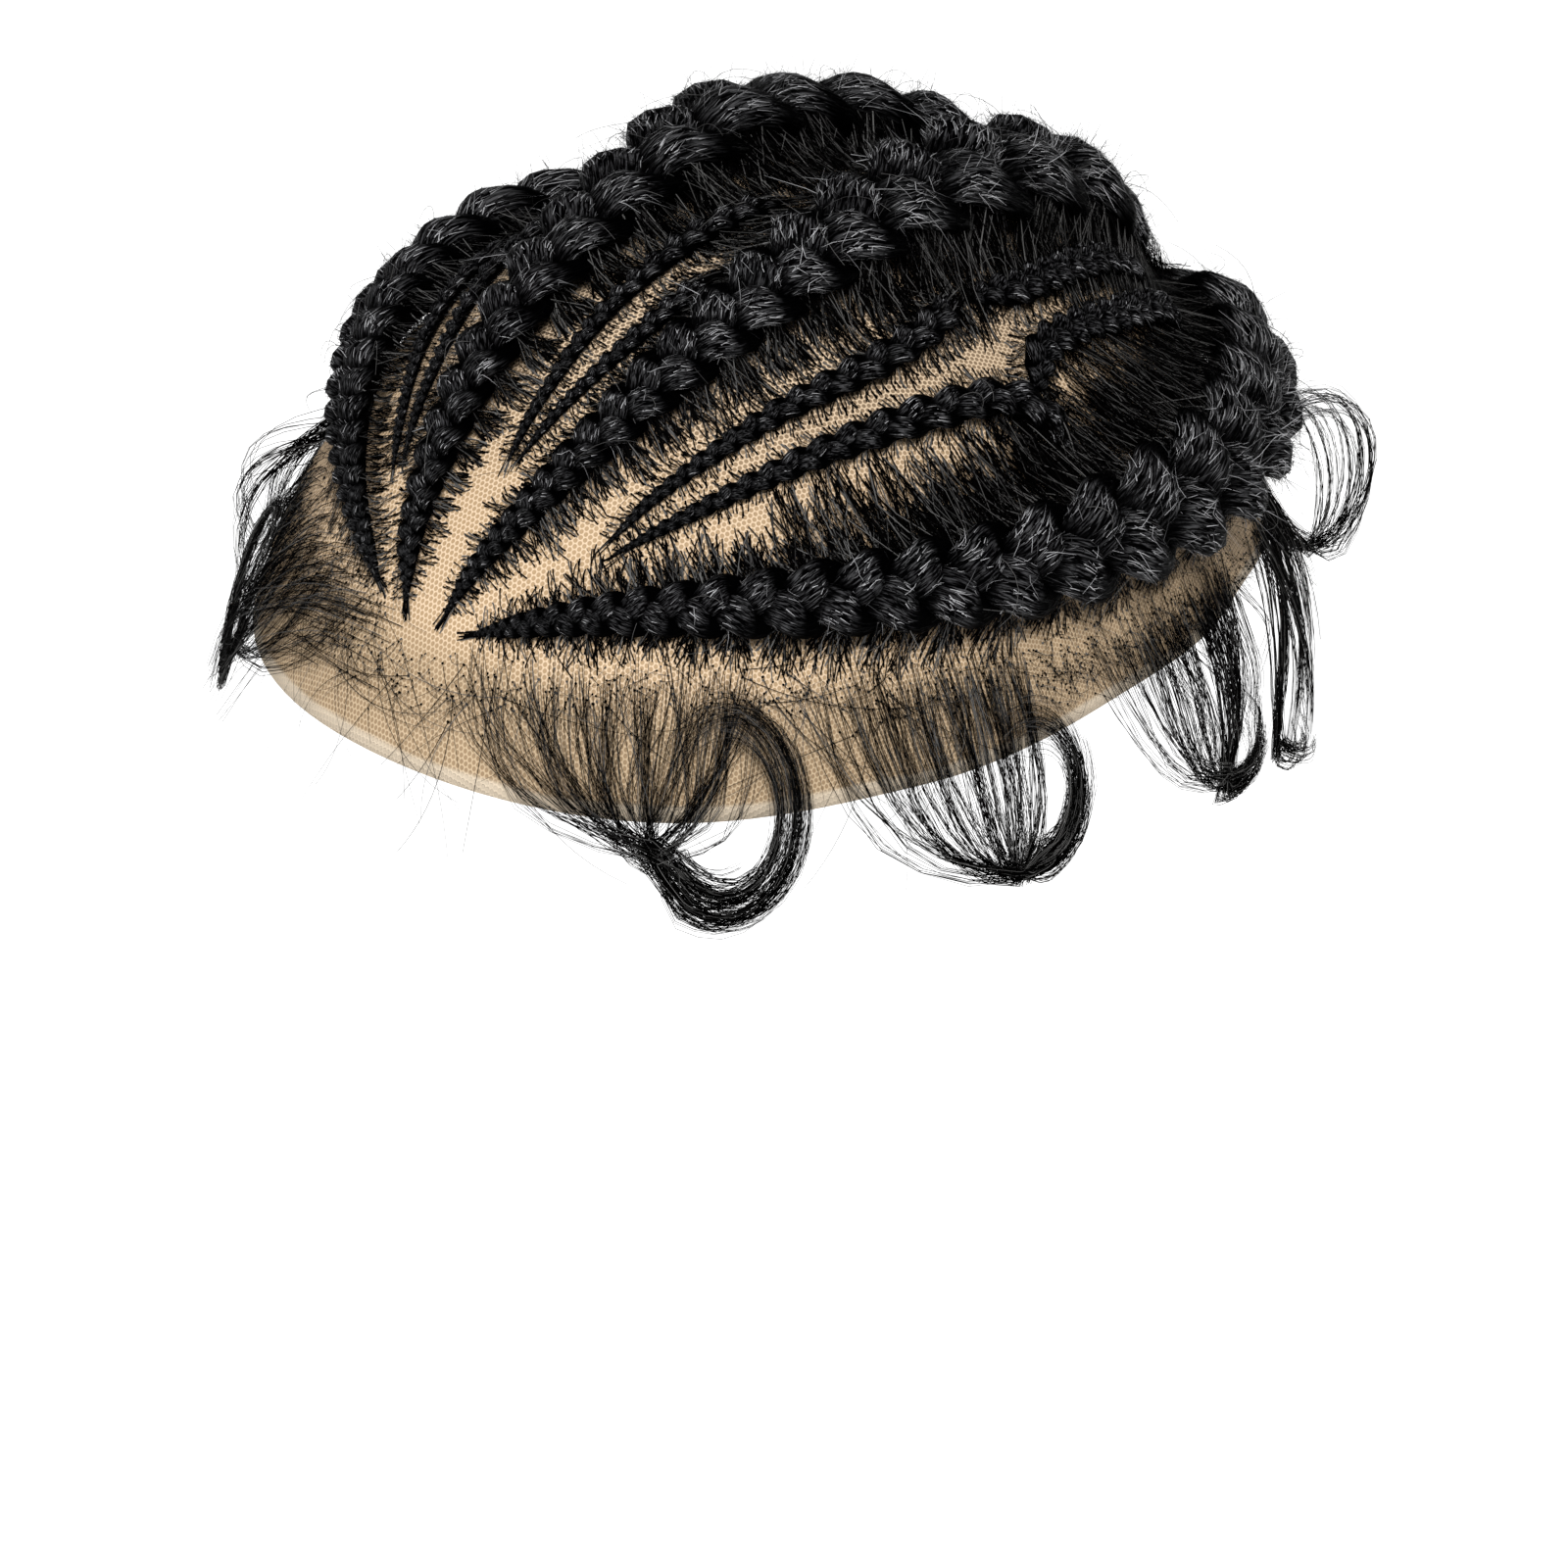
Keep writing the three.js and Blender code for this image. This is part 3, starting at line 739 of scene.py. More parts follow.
def plait_tree():
    tree, bench, given = tree_with_inputs("plait", plait_inputs())
    line = bench.node("GeometryNodeMeshToCurve", None, {"Mesh": given["Geometry"]})[0]
    across = named(bench, "across", "FLOAT_VECTOR")
    out = named(bench, "out", "FLOAT_VECTOR")
    turn = named(bench, "turn")
    width = named(bench, "width")
    strands = []
    for phase in (0.0, 2 * math.pi / 3, 4 * math.pi / 3):
        beat = turn + phase
        # The crest, the top of each arch, is also where the painted highlight goes.
        crest = bench.sine(beat * 2.0)
        zigzag = bench.sine(beat) - bench.sine(beat * 3.0) * ZIGZAG
        swing = across * (width * given["Swing"] * zigzag)
        arch = out * (width * given["Arch"] * crest)
        strand = store(bench, shifted(bench, line, swing + arch), "crest", crest)
        strands.append(store(bench, strand, "stout", width * (1.0 + given["Swell"] * crest)))
    strands = joined(bench, strands)
    cores = []
    for aside in (-CORE_ASIDE, CORE_ASIDE):
        sunk = across * (width * aside) - out * (width * given["Arch"] * CORE_DEPTH)
        core = store(bench, shifted(bench, line, sunk), "crest", -1.0)
        cores.append(faced(bench, store(bench, core, "stout", width * CORE_SIZE), out))
    tangent = bench.node("GeometryNodeInputTangent")[0]
    side = bench.node("ShaderNodeVectorMath", {"operation": "CROSS_PRODUCT"}, {0: tangent, 1: out})[0]
    strands = store(bench, strands, "side", bench.normalised(side), "FLOAT_VECTOR")
    strands = faced(bench, strands, out)
    swept = joined(bench, [strands, *cores])
    circle = {"Resolution": STRAND_SIDES, "Radius": 1.0}
    ring = bench.node("GeometryNodeCurvePrimitiveCircle", None, circle)[0]
    half_turn = {"Geometry": ring, "Rotation": (0.0, 0.0, math.pi)}
    ring = bench.node("GeometryNodeTransform", None, half_turn)[0]
    oval = {"X": given["Strand Height"], "Y": given["Strand Width"], "Z": 1.0}
    flatten = {"Geometry": ring, "Scale": bench.node("ShaderNodeCombineXYZ", None, oval)[0]}
    ring = bench.node("GeometryNodeTransform", None, flatten)[0]
    ring = store(bench, ring, "around", along_line(bench) * given["Grain"])
    sweep = {"Curve": swept, "Profile Curve": ring, "Scale": named(bench, "stout"), "Fill Caps": True}
    body = bench.node("GeometryNodeCurveToMesh", None, sweep)[0]
    body = finished(bench, store(bench, body, "along", turn), given["Body"])
    seed = given["Seed"]
    fibres = lay_fibres(bench, given, strands, "Fibre", points=3, crowd=0.6, slant=0.18, seed=seed)
    frizz = lay_fibres(bench, given, strands, "Frizz", points=4, crowd=0.45, slant=0.9, seed=seed + 20.0)
    hair = finished(bench, joined(bench, [fibres, frizz]), given["Hair"])
    bench.node("NodeGroupOutput", None, {"Geometry": joined(bench, [body, hair])})
    return tree


PLAIT_TREE = plait_tree()
print("plait tree of", len(PLAIT_TREE.nodes), "nodes")

# %% [markdown]
# A row's line becomes a chain of points with its ways and widths stored on them. The tree's inputs are set
# before the object is first evaluated, and the evaluated mesh becomes the finished piece.
# %% Plait the rows
WEAVE = {"Swing": 0.26, "Strand Width": 0.27, "Swell": 0.12}
ARCH_SHARE = 0.22
STRAND_SHARE = 0.28
BIG_FIBRES = {"Count": 4700, "Share": 0.012, "Radius": 0.06 * MM, "Lift": 0.16}
BIG_FRIZZ = {"Count": 900, "Share": 0.013, "Radius": 0.045 * MM, "Lift": 1.9}
THIN_FIBRES = {"Count": 320, "Share": 0.04, "Radius": 0.075 * MM, "Lift": 0.08}
THIN_FRIZZ = {"Count": 16, "Share": 0.04, "Radius": 0.04 * MM, "Lift": 0.8}
BIG_PLAIT = dict(per_turn=24, grain=75.0, fibre=BIG_FIBRES, frizz=BIG_FRIZZ)
THIN_PLAIT = dict(per_turn=16, grain=34.0, fibre=THIN_FIBRES, frizz=THIN_FRIZZ)


def run_tree(name, guide, tree, inputs):
    """The piece that a tree makes of a guide mesh, as a plain mesh."""
    holder = placed(name + "_guide", guide)
    modifier = holder.modifiers.new("nodes", "NODES")
    modifier.node_group = tree
    sockets = {s.name: s.identifier for s in tree.interface.items_tree if s.in_out == "INPUT"}
    for label, value in inputs.items():
        modifier[sockets[label]] = value
    graph = bpy.context.evaluated_depsgraph_get()
    shown = holder.evaluated_get(graph)
    mesh = bpy.data.meshes.new_from_object(shown, preserve_all_data_layers=True, depsgraph=graph)
    bpy.data.objects.remove(holder)
    bpy.data.meshes.remove(guide)
    mesh.name = name
    print(name, sum(len(p.vertices) - 2 for p in mesh.polygons), "triangles")
    return placed(name, mesh)


def plait_row(row, per_turn, grain, fibre, frizz, seed):
    """Plaits a row, with so many points for each turn of the weave."""
    turn = np.arange(0.0, row.turned[-1], 2 * math.pi / per_turn)
    distance = row.at_turn(turn)
    _, out, across = row.ways(distance)
    width = row.width(distance)
    middle = row.spot(distance) + out * (row.seat(distance) + row.rise * width / 2)[:, None]
    guide = bpy.data.meshes.new(row.name)
    guide.from_pydata(middle * MM, [(k, k + 1) for k in range(len(turn) - 1)], [])
    for name, values in (("turn", turn), ("width", width * MM), ("across", across), ("out", out)):
        keep_values(guide, name, values)
    inputs = {**WEAVE, "Arch": ARCH_SHARE * row.rise, "Strand Height": STRAND_SHARE * row.rise}
    for label, kind in (("Fibre", fibre), ("Frizz", frizz)):
        inputs.update({f"{label} {size}": value for size, value in kind.items()})
    inputs.update({"Grain": grain, "Seed": seed, "Body": plait_body, "Hair": plait_fibre})
    return run_tree(row.name + "_plait", guide, PLAIT_TREE, inputs)


plaits = {}
for number, row in enumerate(BIG_ROWS):
    plaits[row.name] = plait_row(row, **BIG_PLAIT, seed=40 * number)
for number, row in enumerate(THIN_ROWS):
    plaits[row.name] = plait_row(row, **THIN_PLAIT, seed=400 + 40 * number)

# %% [markdown]
# Loose hair is made by two more trees. A guide holds each hair as a chain of points with a thickness. Hair
# that lies on the lace is swept as a flat ribbon that faces out, and hair that hangs free as a small
# triangle. The hairs are worked out in arrays, because each one follows the rows, the lace or a curl by its
# own rule.
# %% Tree for loose hair


def hair_tree(name, lying):
    tree, bench, given = tree_with_inputs(name, {"Hair": "NodeSocketMaterial"})
    lines = bench.node("GeometryNodeMeshToCurve", None, {"Mesh": given["Geometry"]})[0]
    if lying:
        lines = faced(bench, lines, named(bench, "out", "FLOAT_VECTOR"))
        hair = ribbon(bench, lines, named(bench, "thick"))
    else:
        circle = {"Resolution": 3, "Radius": 1.0}
        triangle = bench.node("GeometryNodeCurvePrimitiveCircle", None, circle)[0]
        sweep = {"Curve": lines, "Profile Curve": triangle, "Scale": named(bench, "thick")}
        hair = bench.node("GeometryNodeCurveToMesh", None, sweep)[0]
    bench.node("NodeGroupOutput", None, {"Geometry": finished(bench, hair, given["Hair"])})
    return tree


LYING_TREE = hair_tree("lying_hair", True)
HANGING_TREE = hair_tree("hanging_hair", False)


def hair_piece(name, tree, hairs, rng):
    """hairs is a list of pairs, the points of equally long hairs and their thickness, in millimetres."""
    points = []
    edges = []
    thick = []
    shade = []
    start = 0
    for lines, radius in hairs:
        count, steps, _ = lines.shape
        numbers = start + np.arange(count * steps).reshape(count, steps)
        edges.append(np.stack([numbers[:, :-1].ravel(), numbers[:, 1:].ravel()], axis=1))
        points.append(lines.reshape(-1, 3))
        thick.append(np.broadcast_to(radius, (count, steps)).ravel())
        # A number for each hair, which picks how much painted glint it gets.
        shade.append(np.repeat(rng.random(count), steps))
        start += count * steps
    points = np.concatenate(points)
    guide = bpy.data.meshes.new(name)
    guide.from_pydata(points * MM, np.concatenate(edges).tolist(), [])
    keep_values(guide, "thick", np.concatenate(thick) * MM)
    keep_values(guide, "shade", np.concatenate(shade))
    keep_values(guide, "out", skin_normal(points))
    return run_tree(name, guide, tree, {"Hair": loose_fibre})


print("hair trees of", len(LYING_TREE.nodes), "and", len(HANGING_TREE.nodes), "nodes")

# %% [markdown]
# The hair that feeds a row is knotted into the lace on both sides. Each hair starts at its knot, a dark
# dot, and runs to the nearest gap between two lobes of the plait, so the roots gather into small tufts. On
# the thin plaits they are short, and beside the edge rows they form a dense combed band.
# %% Root hairs
KNOT_SHARES = np.array([0.0, 0.09, 0.45, 1.0])
KNOT_RADII = np.array([0.18, 0.19, 0.115, 0.10])
CLOSE_SHARES = np.array([0.0, 0.5, 1.0])
CLOSE_RADII = np.array([0.16, 0.11, 0.09])
FAR_ROOTS = dict(shares=KNOT_SHARES, radii=KNOT_RADII * 0.62, spacing=1.2, gather=0.9, climb=0.6)
CLOSE_ROOTS = dict(shares=CLOSE_SHARES, radii=CLOSE_RADII, spacing=1.05, gather=0.75, climb=0.55)
THIN_ROOTS = dict(shares=KNOT_SHARES, radii=KNOT_RADII * 0.75, spacing=1.05, gather=0.35, climb=0.2)
MOST_ROOTS = 11.0
MOST_TUFTS = 200
HAIR_ROOM = LACE_TOP + 0.1


def crest_over_lace(row, distance, low, high, rng):
    """How high a hair ends on the plait, between two shares of its rise."""
    share = rng.uniform(low, high, len(distance))
    return row.seat(distance) + row.rise * row.width(distance) * share - LACE_TOP


def root_hairs(row, side, reach, kind, rng):
    """Hairs from knots beside the row, at the reach given for some distances, up to a climb on it."""
    fine = np.linspace(0.0, row.length, 600)
    reach_here = np.interp(fine, [r[0] for r in reach], [r[1] for r in reach])
    density = np.clip(reach_here / kind["spacing"] ** 2, 1.0 / kind["spacing"], MOST_ROOTS)
    total = np.concatenate([[0.0], np.cumsum((density[1:] + density[:-1]) / 2 * np.diff(fine))])
    count = int(total[-1])
    root_at = np.interp((np.arange(count) + rng.random(count)) * total[-1] / count, total, fine)
    first = math.pi / 2 if side > 0 else math.pi / 6
    gap = 2 * math.pi / 3
    tuft = np.round((row.turn(root_at) - first - gap / 2) / gap).astype(int)
    tuft_size = rng.uniform(0.7, 1.2, MOST_TUFTS)[tuft]
    notch_at = np.clip(row.at_turn(first + gap / 2 + tuft * gap), 0.5, row.length - 0.5)
    half_pitch = row.period / 6 * row.width(root_at)
    off_middle = np.clip(np.abs(root_at - notch_at) / half_pitch, 0.0, 1.0)
    far = np.interp(root_at, fine, reach_here) * tuft_size * (1.0 - 0.35 * off_middle**2)
    tuft_pull = rng.uniform(0.5, 1.1, MOST_TUFTS)[tuft] * kind["gather"] * np.clip(1.6 - far / 14.0, 0.3, 1.0)
    lean = rng.normal(0.0, 0.22, count) * far
    tip_at = np.clip(root_at + (notch_at - root_at) * tuft_pull + lean + 0.2 * far, 0.3, row.length - 0.3)
    root_way = row.width(root_at) / 2 + far * rng.uniform(0.05, 1.05, count) ** 0.7
    tip_way = row.width(tip_at) * rng.uniform(0.25, 0.42, count)
    share = kind["shares"][None, :]
    at = root_at[:, None] + (tip_at - root_at)[:, None] * share**1.3
    bow = rng.normal(0.0, 0.10, count) * far
    at = np.clip(at + bow[:, None] * np.sin(np.pi * share), 0.0, row.length)
    way = root_way[:, None] + (tip_way - root_way)[:, None] * share
    _, _, across = row.ways(at)
    base = row.spot(at) + across * (way * side)[..., None]
    top = crest_over_lace(row, tip_at, 0.1, kind["climb"], rng)
    hump = 0.3 * far * rng.uniform(0.2, 1.0, count)
    lift = HAIR_ROOM + top[:, None] * share**2 + hump[:, None] * share * (1 - share)
    lines = on_form(base - FORM_CENTRE, lift)
    return lines, kind["radii"][None, :] * rng.uniform(0.75, 1.2, count)[:, None]


def tip_hairs(row, count, longest, rng):
    """Hairs from knots ahead of the row that run into its tip."""
    along, _, across = row.ways(np.array([0.6]))
    ahead = rng.uniform(0.5, longest, count)[:, None]
    start = row.spot(np.zeros(count)) - along * ahead + across * ahead * rng.normal(0.0, 0.2, (count, 1))
    inside = rng.uniform(2.0, 9.0, count)
    beside = row.width(inside) * rng.uniform(-0.35, 0.35, count)
    end = row.spot(inside) + across * beside[:, None]
    share = KNOT_SHARES[None, :]
    base = start[:, None] + (end - start)[:, None] * share[..., None]
    top = crest_over_lace(row, inside, 0.3, 0.9, rng)
    lines = on_form(base - FORM_CENTRE, HAIR_ROOM + top[:, None] * share**1.5)
    return lines, KNOT_RADII[None, :] * rng.uniform(0.45, 0.8, count)[:, None]


def tail_hairs(row, count, longest, fan, rng):
    """Hair ends that stick out of the end of the row and lie down on the lace."""
    along, _, across = row.ways(np.array([row.length - 0.6]))
    inside = row.length - rng.uniform(0.5, 9.0, count)
    beside = row.width(inside) * rng.uniform(-0.42, 0.42, count)
    start = row.spot(inside) + across * beside[:, None]
    top = crest_over_lace(row, inside, 0.2, 0.9, rng)
    ahead = rng.uniform(0.25, 1.0, count) * longest
    aside = beside * rng.uniform(0.2, 1.1, count) + rng.normal(0.0, fan, count) * ahead
    end = row.spot(np.full(count, row.length)) + along * ahead[:, None] + across * aside[:, None]
    share = np.linspace(0.0, 1.0, 4)[None, :]
    base = start[:, None] + (end - start)[:, None] * share[..., None]
    lines = on_form(base - FORM_CENTRE, LACE_TOP + 0.3 + top[:, None] * np.cos(share * math.pi / 2))
    return lines, np.linspace(0.12, 0.05, 4)[None, :] * rng.uniform(0.8, 1.2, count)[:, None]


# A reach is a list of distances along the row and how far beside it the knots lie there.
EDGE_IN = [[0, 3.5], [20, 8.0], [45, 12.0], [70, 17.0], [95, 22.0], [140, 22.0], [220, 13.0]]
RIGHT_EDGE_IN = [[0, 3.0], [20, 6.0], [45, 7.0], [70, 10.0], [95, 18.0], [140, 22.0], [220, 13.0]]
EDGE_OUT = [[0, 3.5], [15, 6.0], [60, 7.5], [100, 5.0], [140, 3.8], [220, 4.0]]
CROWN_IN = [[0, 2.5], [20, 6.0], [50, 7.5], [68, 10.0], [82, 15.0], [100, 18.0], [220, 17.0]]
CROWN_OUT = [[0, 3.0], [20, 7.5], [50, 9.0], [78, 11.5], [98, 17.5], [220, 16.0]]
LEFT_AND_RIGHT_REACH = {
    "cornrow_left_edge": (EDGE_OUT, EDGE_IN),
    "cornrow_left_crown": (CROWN_OUT, CROWN_IN),
    "cornrow_right_crown": (CROWN_IN, CROWN_OUT),
    "cornrow_right_edge": (RIGHT_EDGE_IN, EDGE_OUT),
}
rng = np.random.default_rng(11)
root_sets = {row.name: [] for row in BIG_ROWS}
for row in BIG_ROWS:
    ours = root_sets[row.name]
    for side, reach in zip((1, -1), LEFT_AND_RIGHT_REACH[row.name]):
        close = [[at, far * 0.5] for at, far in reach]
        ours.append(root_hairs(row, side, reach, FAR_ROOTS, rng))
        ours.append(root_hairs(row, side, close, CLOSE_ROOTS, rng))
    ours.append(tip_hairs(row, count=20, longest=3.5, rng=rng))
    fan = 0.65 if "crown" in row.name else 0.3
    ours.append(tail_hairs(row, count=560, longest=28.0, fan=fan, rng=rng))
for row in THIN_ROWS:
    ours = root_sets["cornrow_left_crown" if "left" in row.name else "cornrow_right_crown"]
    near, far = (4.5, 3.5) if "back" in row.name else (2.8, 8.0)
    short = [[0, near], [row.length * 0.3, 2.4], [row.length * 0.7, 2.4], [row.length, far]]
    for side in (1, -1):
        ours.append(root_hairs(row, side, short, THIN_ROOTS, rng))
    ours.append(tip_hairs(row, count=7, longest=3.0, rng=rng))
    ours.append(tail_hairs(row, count=50, longest=8.0, fan=0.12, rng=rng))
root_pieces = []
for name, hairs in root_sets.items():
    root_pieces.append(hair_piece(name.replace("cornrow", "root_hairs"), LYING_TREE, hairs, rng))

# %% [markdown]
# Between the edge rows and the baby hair the lace carries single fine hairs, each with its small knot. They
# are scattered over the band of the hairline and curl in all directions, mostly down. A few at the front
# are long and stray over the cut edge.
# %% Hairline
HAIRLINE_BEARINGS = np.array([0.0, 13.0, 27.0, 44.0, 63.0, 78.0, 96.0, 114.0, 141.0, 180.0])
HAIRLINE_HEIGHTS = np.array([26.6, 28.5, 31.0, 31.6, 29.8, 27.5, 24.6, 22.6, 16.0, 13.0])
HAIRLINE_BAND = (-1.6, 1.7)
WIDE_BAND = (1.5, 3.2)
BEARING_PER_MM = 0.72
HEIGHT_PER_MM = 0.62
FINE_HAIR = (0.042, 0.02)
KNOT_LENGTH = 0.36
KNOT_RADIUS = 0.16


def hairline_height(bearing):
    return np.interp(np.abs(bearing), HAIRLINE_BEARINGS, HAIRLINE_HEIGHTS)


def hairline_hairs(count, bearings, band, lengths, points, rng, stout=1.0):
    """Hairs and their knots. band is the mean and the spread of the roots over the hairline, in degrees."""
    bearing = rng.uniform(*bearings, count)
    height = hairline_height(bearing) + rng.normal(*band, count)
    height = np.maximum(height, rim_height(bearing) + 0.8)
    way = np.radians(rng.normal(-75.0, 40.0, count))
    bend = np.radians(rng.normal(0.0, 50.0, count))
    length = rng.uniform(*lengths, count)
    share = np.linspace(0.0, 1.0, points)[None, :]
    turn = way[:, None] + bend[:, None] * share
    step = np.stack([np.cos(turn), np.sin(turn)], axis=-1) * (length / (points - 1))[:, None, None]
    run = np.cumsum(step, axis=1) - step[:, :1]
    run_bearing = bearing[:, None] + run[..., 0] * BEARING_PER_MM
    run_height = height[:, None] + run[..., 1] * HEIGHT_PER_MM
    lift = HAIR_ROOM + rng.uniform(0.1, 1.2, count)[:, None] * share * (2 - share)
    lines = on_form(by_compass(run_bearing, run_height), lift)
    thick = rng.uniform(0.8, 1.2, count)[:, None] * stout
    knot_ends = lines[:, 0] + unit(lines[:, 1] - lines[:, 0]) * KNOT_LENGTH
    knots = np.stack([lines[:, 0], knot_ends], axis=1)
    hair_radii = np.linspace(*FINE_HAIR, points)[None, :] * thick
    return [(lines, hair_radii), (knots, np.full((1, 2), KNOT_RADIUS) * thick)]


rng = np.random.default_rng(23)
hairline = [
    *hairline_hairs(1500, (-165.0, 165.0), HAIRLINE_BAND, (2.0, 8.0), 7, rng),
    *hairline_hairs(85, (-20.0, 75.0), HAIRLINE_BAND, (12.0, 36.0), 13, rng, stout=1.5),
    *hairline_hairs(150, (92.0, 178.0), HAIRLINE_BAND, (3.0, 11.0), 7, rng),
    *hairline_hairs(150, (-178.0, -92.0), HAIRLINE_BAND, (3.0, 11.0), 7, rng),
    *hairline_hairs(700, (-85.0, -4.0), WIDE_BAND, (4.0, 13.0), 7, rng),
    *hairline_hairs(500, (70.0, 150.0), WIDE_BAND, (2.0, 7.0), 7, rng),
    *hairline_hairs(420, (-150.0, -85.0), WIDE_BAND, (2.0, 7.0), 7, rng),
]
root_pieces.append(hair_piece("hairline_hairs", LYING_TREE, hairline, rng))

# %% [markdown]
# A few long hairs have slipped out of the plaits. Each leaves the top of a row in any direction, bends, and
# comes down again with the curve of the lace.
# %% Flyaway hairs
FORM_BEND = 90.0
FLYAWAY_POINTS = 7


def flyaway_hairs(row, count, rng):
    at = rng.uniform(0.1, 0.95, count) * row.length
    along, out, across = (way[:, None] for way in row.ways(at))
    width = row.width(at)
    beside = width * rng.uniform(-0.4, 0.4, count)
    top = row.seat(at) + row.rise * width * rng.uniform(0.7, 1.0, count)
    share = np.linspace(0.0, 1.0, FLYAWAY_POINTS)[None, :]
    turn = rng.uniform(0.0, 2 * math.pi, count)[:, None] + rng.normal(0.0, 1.3, count)[:, None] * share
    length = rng.uniform(4.0, 15.0, count)[:, None] / (FLYAWAY_POINTS - 1)
    ahead = np.cumsum(np.cos(turn) * length, axis=1)
    aside = beside[:, None] + np.cumsum(np.sin(turn) * length, axis=1)
    rise = rng.uniform(0.5, 3.5, count)[:, None] * np.sin(math.pi * 0.85 * share)
    lift = top[:, None] + rise - (ahead**2 + aside**2) / (2 * FORM_BEND)
    lines = row.spot(at)[:, None] + along * ahead[..., None] + across * aside[..., None]
    return lines + out * lift[..., None], np.linspace(0.06, 0.035, FLYAWAY_POINTS)[None, :]


rng = np.random.default_rng(31)
strays = [flyaway_hairs(row, 90, rng) for row in BIG_ROWS]
strays += [flyaway_hairs(row, 6, rng) for row in THIN_ROWS]
root_pieces.append(hair_piece("flyaway_hairs", HANGING_TREE, strays, rng))

# %% [markdown]
# Baby hair is the loose hair of the hairline. It falls in small clumps, is swept together at a gather point
# and goes round in a curl. Every hair of a swoop is a smooth line through the same few stations with its
# own small offsets, so that the clumps, the gather and the open ring all come from one rule.
# %% Swoops and curls
SWOOPS = {
    "front": dict(
        roots=(5, 41), heights=(27.5, 29.5), gather=(30.5, 14), centre=(37, 18.3), radius=(6.6, 9.6),
        arc=(212, 470), flare=2, clumps=40, hairs=8, spread=1.4, least=0.2, longest=1.28),
    "temple": dict(
        roots=(45, 77), heights=(29.5, 27), gather=(71, 4.5), centre=(74, 13.8), radius=(6.4, 9),
        arc=(255, 488), flare=2, clumps=42, hairs=8, spread=1.3, least=0.2, longest=1.05),
    "side": dict(
        roots=(86, 121), heights=(26, 21), gather=(110, -1.5), centre=(111.5, 3.5), radius=(5, 5.4),
        arc=(245, 420), flare=4, clumps=32, hairs=8, spread=1.6, least=0.2, longest=1.0),
    "nape": dict(
        roots=(127, 146), heights=(18.3, 14.5), gather=(132, -9), centre=(134.5, -7), radius=(3, 4),
        arc=(215, 380), flare=8, clumps=11, hairs=9, spread=1.9, least=0.2, longest=1.0),
    "back": dict(
        roots=(145, 168), heights=(14.4, 11.6), gather=(150, 5), centre=(149, 13), radius=(5, 8.5),
        arc=(262, 452), flare=19, clumps=18, hairs=6, spread=1.2, least=0.95, longest=1.06),
}
HAIR_LIFT = 1.35
FALL_STATIONS = (0.0, 0.25, 0.5, 0.75, 1.0)
CURL_STATIONS = 9
SWOOP_PLACES = np.concatenate([np.linspace(0.0, 4.0, 7), np.linspace(4.7, 12.999, 13)])


def between(ends, share):
    return ends[0] + (ends[1] - ends[0]) * share


def spline_lines(stations, place):
    """Uniform Catmull-Rom lines through stations of shape (hairs, stations, values), at some places."""
    first = 2 * stations[:, :1] - stations[:, 1:2]
    last = 2 * stations[:, -1:] - stations[:, -2:-1]
    padded = np.concatenate([first, stations, last], axis=1)
    slot = place.astype(int)
    share = (place - slot)[None, :, None]
    p0, p1, p2, p3 = (padded[:, slot + k] for k in range(4))
    square = 2 * p0 - 5 * p1 + 4 * p2 - p3
    cubic = 3 * p1 - p0 - 3 * p2 + p3
    return 0.5 * (2 * p1 + (p2 - p0) * share + square * share**2 + cubic * share**3)


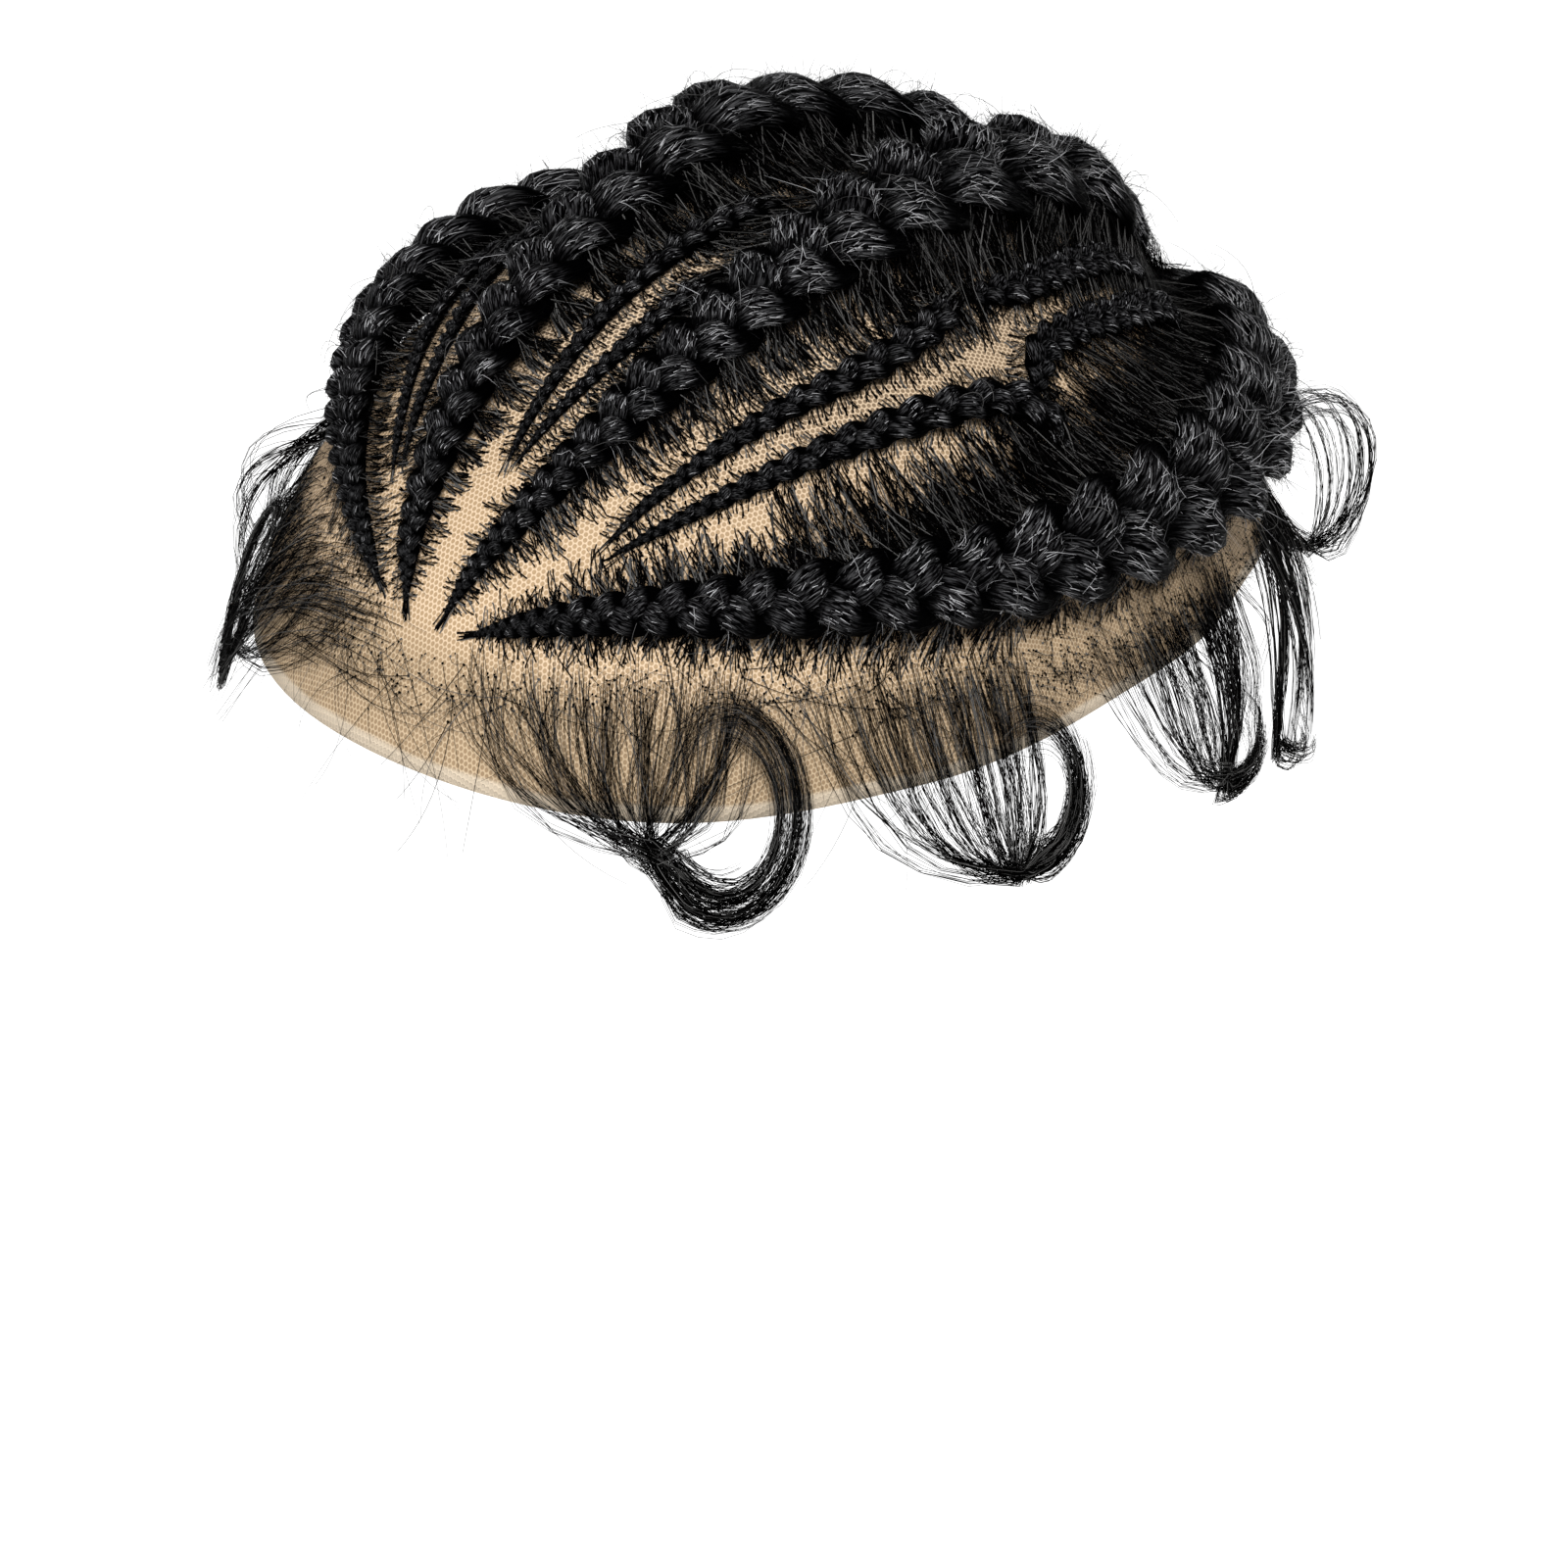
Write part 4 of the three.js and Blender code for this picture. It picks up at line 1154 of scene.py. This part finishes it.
def swoop_hairs(swoop, mirror, rng):
    clumps = swoop["clumps"]
    count = clumps * swoop["hairs"]
    clump = np.repeat(np.arange(clumps), swoop["hairs"])
    clump_share = ((np.arange(clumps) + rng.uniform(0.0, 1.0, clumps)) / clumps) ** 0.7
    clump_bend = rng.normal(0.0, 1.0, (clumps, 2))
    share = np.clip(clump_share[clump] + rng.normal(0.0, 0.025, count), 0.0, 1.0)
    root_bearing = between(swoop["roots"], share)
    root_height = between(swoop["heights"], share) + rng.normal(0.5, 2.1, count)
    clump_gather = rng.normal(0.0, 0.55, (clumps, 2)) * swoop["spread"]
    gather = np.array(swoop["gather"])[None, :] + clump_gather[clump] + rng.normal(0.0, 0.25, (count, 2))
    own_flare = swoop["flare"] * rng.uniform(0.5, 1.1, clumps)[clump]
    own_bearing = between(swoop["roots"], clump_share[clump])
    own_height = between(swoop["heights"], clump_share[clump])
    bend_bearing = own_bearing + (gather[:, 0] - own_bearing) * 0.26
    bend_height = own_height + (gather[:, 1] - own_height) * 0.85
    stations = []
    for t in FALL_STATIONS:
        first, second, third = (1 - t) ** 2, 2 * t * (1 - t), t * t
        near = (1 - t) ** 1.5
        start_bearing = own_bearing + (root_bearing - own_bearing) * (0.35 + 0.65 * near)
        start_height = own_height + (root_height - own_height) * near
        bearing = first * start_bearing + second * bend_bearing + third * gather[:, 0]
        height = first * start_height + second * bend_height + third * gather[:, 1]
        wander = math.sin(math.pi * t)
        bearing = bearing + wander * (1.2 * clump_bend[clump, 0] + rng.normal(0.0, 0.35, count))
        height = height + wander * (0.5 * clump_bend[clump, 1] + rng.normal(0.0, 0.3, count))
        lift = HAIR_LIFT + 1.0 * t + 0.25 * own_flare * third + rng.uniform(0.0, 0.7, count) * t
        stations.append(np.stack([bearing, height, lift], axis=1))
    size = rng.normal(0.97, 0.085 * swoop["spread"], clumps)[clump] + rng.normal(0.0, 0.03, count)
    shift = rng.normal(0.0, 0.4, (clumps, 2))[clump] * swoop["spread"] + rng.normal(0.0, 0.15, (count, 2))
    clump_reach = rng.random(clumps)[clump] ** 0.8
    reach = between((swoop["least"], swoop["longest"]), clump_reach * rng.uniform(0.8, 1.0, count))
    for step in range(1, CURL_STATIONS + 1):
        part = step / CURL_STATIONS * reach
        angle = np.radians(between(swoop["arc"], part))
        bearing = swoop["centre"][0] + shift[:, 0] + swoop["radius"][0] * size * np.cos(angle)
        height = swoop["centre"][1] + shift[:, 1] + swoop["radius"][1] * size * np.sin(angle)
        lift = HAIR_LIFT + 1.0 + own_flare * (0.25 + 0.75 * np.sin(np.pi * np.minimum(part, 1.0)))
        stations.append(np.stack([bearing, height, lift + rng.uniform(0.0, 0.9, count)], axis=1))
    path = spline_lines(np.stack(stations, axis=1), SWOOP_PLACES)
    lines = on_form(by_compass(mirror * path[..., 0], path[..., 1]), path[..., 2])
    taper = np.interp(SWOOP_PLACES, [0.0, 6.0, 13.0], [0.05, 0.06, 0.028])
    return lines, taper[None, :] * rng.uniform(0.8, 1.2, count)[:, None]


print("swoops", list(SWOOPS))

# %% [markdown]
# Some of the baby hair hangs without a curl: the locks of both nape pieces, the fringe on the right of the
# front and temple, and a thin fall on the left side. They are drawn a little together on the way down, in a
# soft wave.
# %% Falls and the baby hair pieces
NAPE_FALL = dict(
    roots=(132, 151), heights=(16.5, 13), scatter=1.3, middle=136, draw=0.45, ends=(-15, 6),
    stand=(1, 9), tuck=0.2, bow=(1.4, 1.0), hairs=220)
FALLS = {
    "baby_hair_nape_left": NAPE_FALL,
    "baby_hair_nape_right": NAPE_FALL,
    "baby_hair_front_right": dict(
        roots=(1, 44), heights=(26.5, 31.5), scatter=3.2, middle=60, draw=0.36, ends=(8, 23),
        stand=(1, 4), tuck=0.0, bow=(0.8, 1.4), hairs=190),
    "baby_hair_temple_right": dict(
        roots=(44, 76), heights=(33, 29), scatter=1.3, middle=58, draw=0.25, ends=(2, 17),
        stand=(2, 11), tuck=1.0, bow=(1.4, 1.0), hairs=80),
    "baby_hair_side_left": dict(
        roots=(98, 122), heights=(23, 18), scatter=1.3, middle=114, draw=0.3, ends=(0, 10),
        stand=(1, 6), tuck=0.5, bow=(1.4, 1.0), hairs=140),
}
HAIRS_PER_CLUMP = 9
FALL_POINTS = 9
SPARSE_HAIRS = 4


def fall_hairs(fall, mirror, rng):
    """Hairs that hang from the lace. A tuck of 1 brings their ends back to its form."""
    count = fall["hairs"]
    clumps = count // HAIRS_PER_CLUMP
    clump = rng.integers(0, clumps, count)
    share = np.clip(rng.random(clumps)[clump] + rng.normal(0.0, 0.03, count), 0.0, 1.0)
    root = between(fall["roots"], share)
    top = between(fall["heights"], share) + rng.normal(0.5, fall["scatter"], count)
    foot = root + (fall["middle"] - root) * fall["draw"]
    foot = foot + rng.normal(0.0, 2.0, clumps)[clump] + rng.normal(0.0, 0.5, count)
    low = rng.uniform(*fall["ends"], clumps)[clump] + rng.normal(0.0, 1.2, count)
    stand = np.maximum(rng.uniform(*fall["stand"], clumps)[clump] + rng.normal(0.0, 0.5, count), 0.5)
    phase = rng.uniform(0.0, 2 * math.pi, clumps)[clump]
    share = np.linspace(0.0, 1.0, FALL_POINTS)[None, :]
    wave = np.sin(phase[:, None] + 5.0 * share) * share
    bearing = root[:, None] + (foot - root)[:, None] * share ** fall["bow"][0] + 0.9 * wave
    height = top[:, None] + (low - top)[:, None] * share ** fall["bow"][1]
    away = share**1.6 + (np.sin(0.9 * math.pi * share) - share**1.6) * fall["tuck"]
    lift = HAIR_LIFT + stand[:, None] * away + 0.6 * share * (1 + wave)
    lines = on_form(by_compass(mirror * bearing, height), lift)
    return lines, np.linspace(0.08, 0.035, FALL_POINTS)[None, :] * rng.uniform(0.8, 1.2, count)[:, None]


baby_pieces = {}
for number, (name, swoop) in enumerate(SWOOPS.items()):
    for side, mirror in (("left", 1), ("right", -1)):
        rng = np.random.default_rng(100 + 10 * number + mirror)
        node = f"baby_hair_{name}_{side}"
        sparse = dict(swoop, hairs=SPARSE_HAIRS) if node in FALLS and side == "right" else swoop
        hairs = [swoop_hairs(sparse, mirror, rng)]
        if node in FALLS:
            hairs.append(fall_hairs(FALLS[node], mirror, rng))
        baby_pieces[node] = hair_piece(node + "_strands", HANGING_TREE, hairs, rng)

# %% [markdown]
# Each piece is tied to the model: the whole toupee is one body, and a piece stands for the node whose place
# The area of the lace sheet is printed.
# %% Tie the pieces to the model
for node, piece in [*plaits.items(), *baby_pieces.items()]:
    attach(piece, "root")
    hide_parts(node)
for piece in root_pieces:
    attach(piece, "root")
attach(lace_sheet, "root")
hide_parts("lace_base")
outer_area = sum(p.area for p in lace_mesh.polygons) / 2
print("lace area", round(outer_area, 4), "square metres")
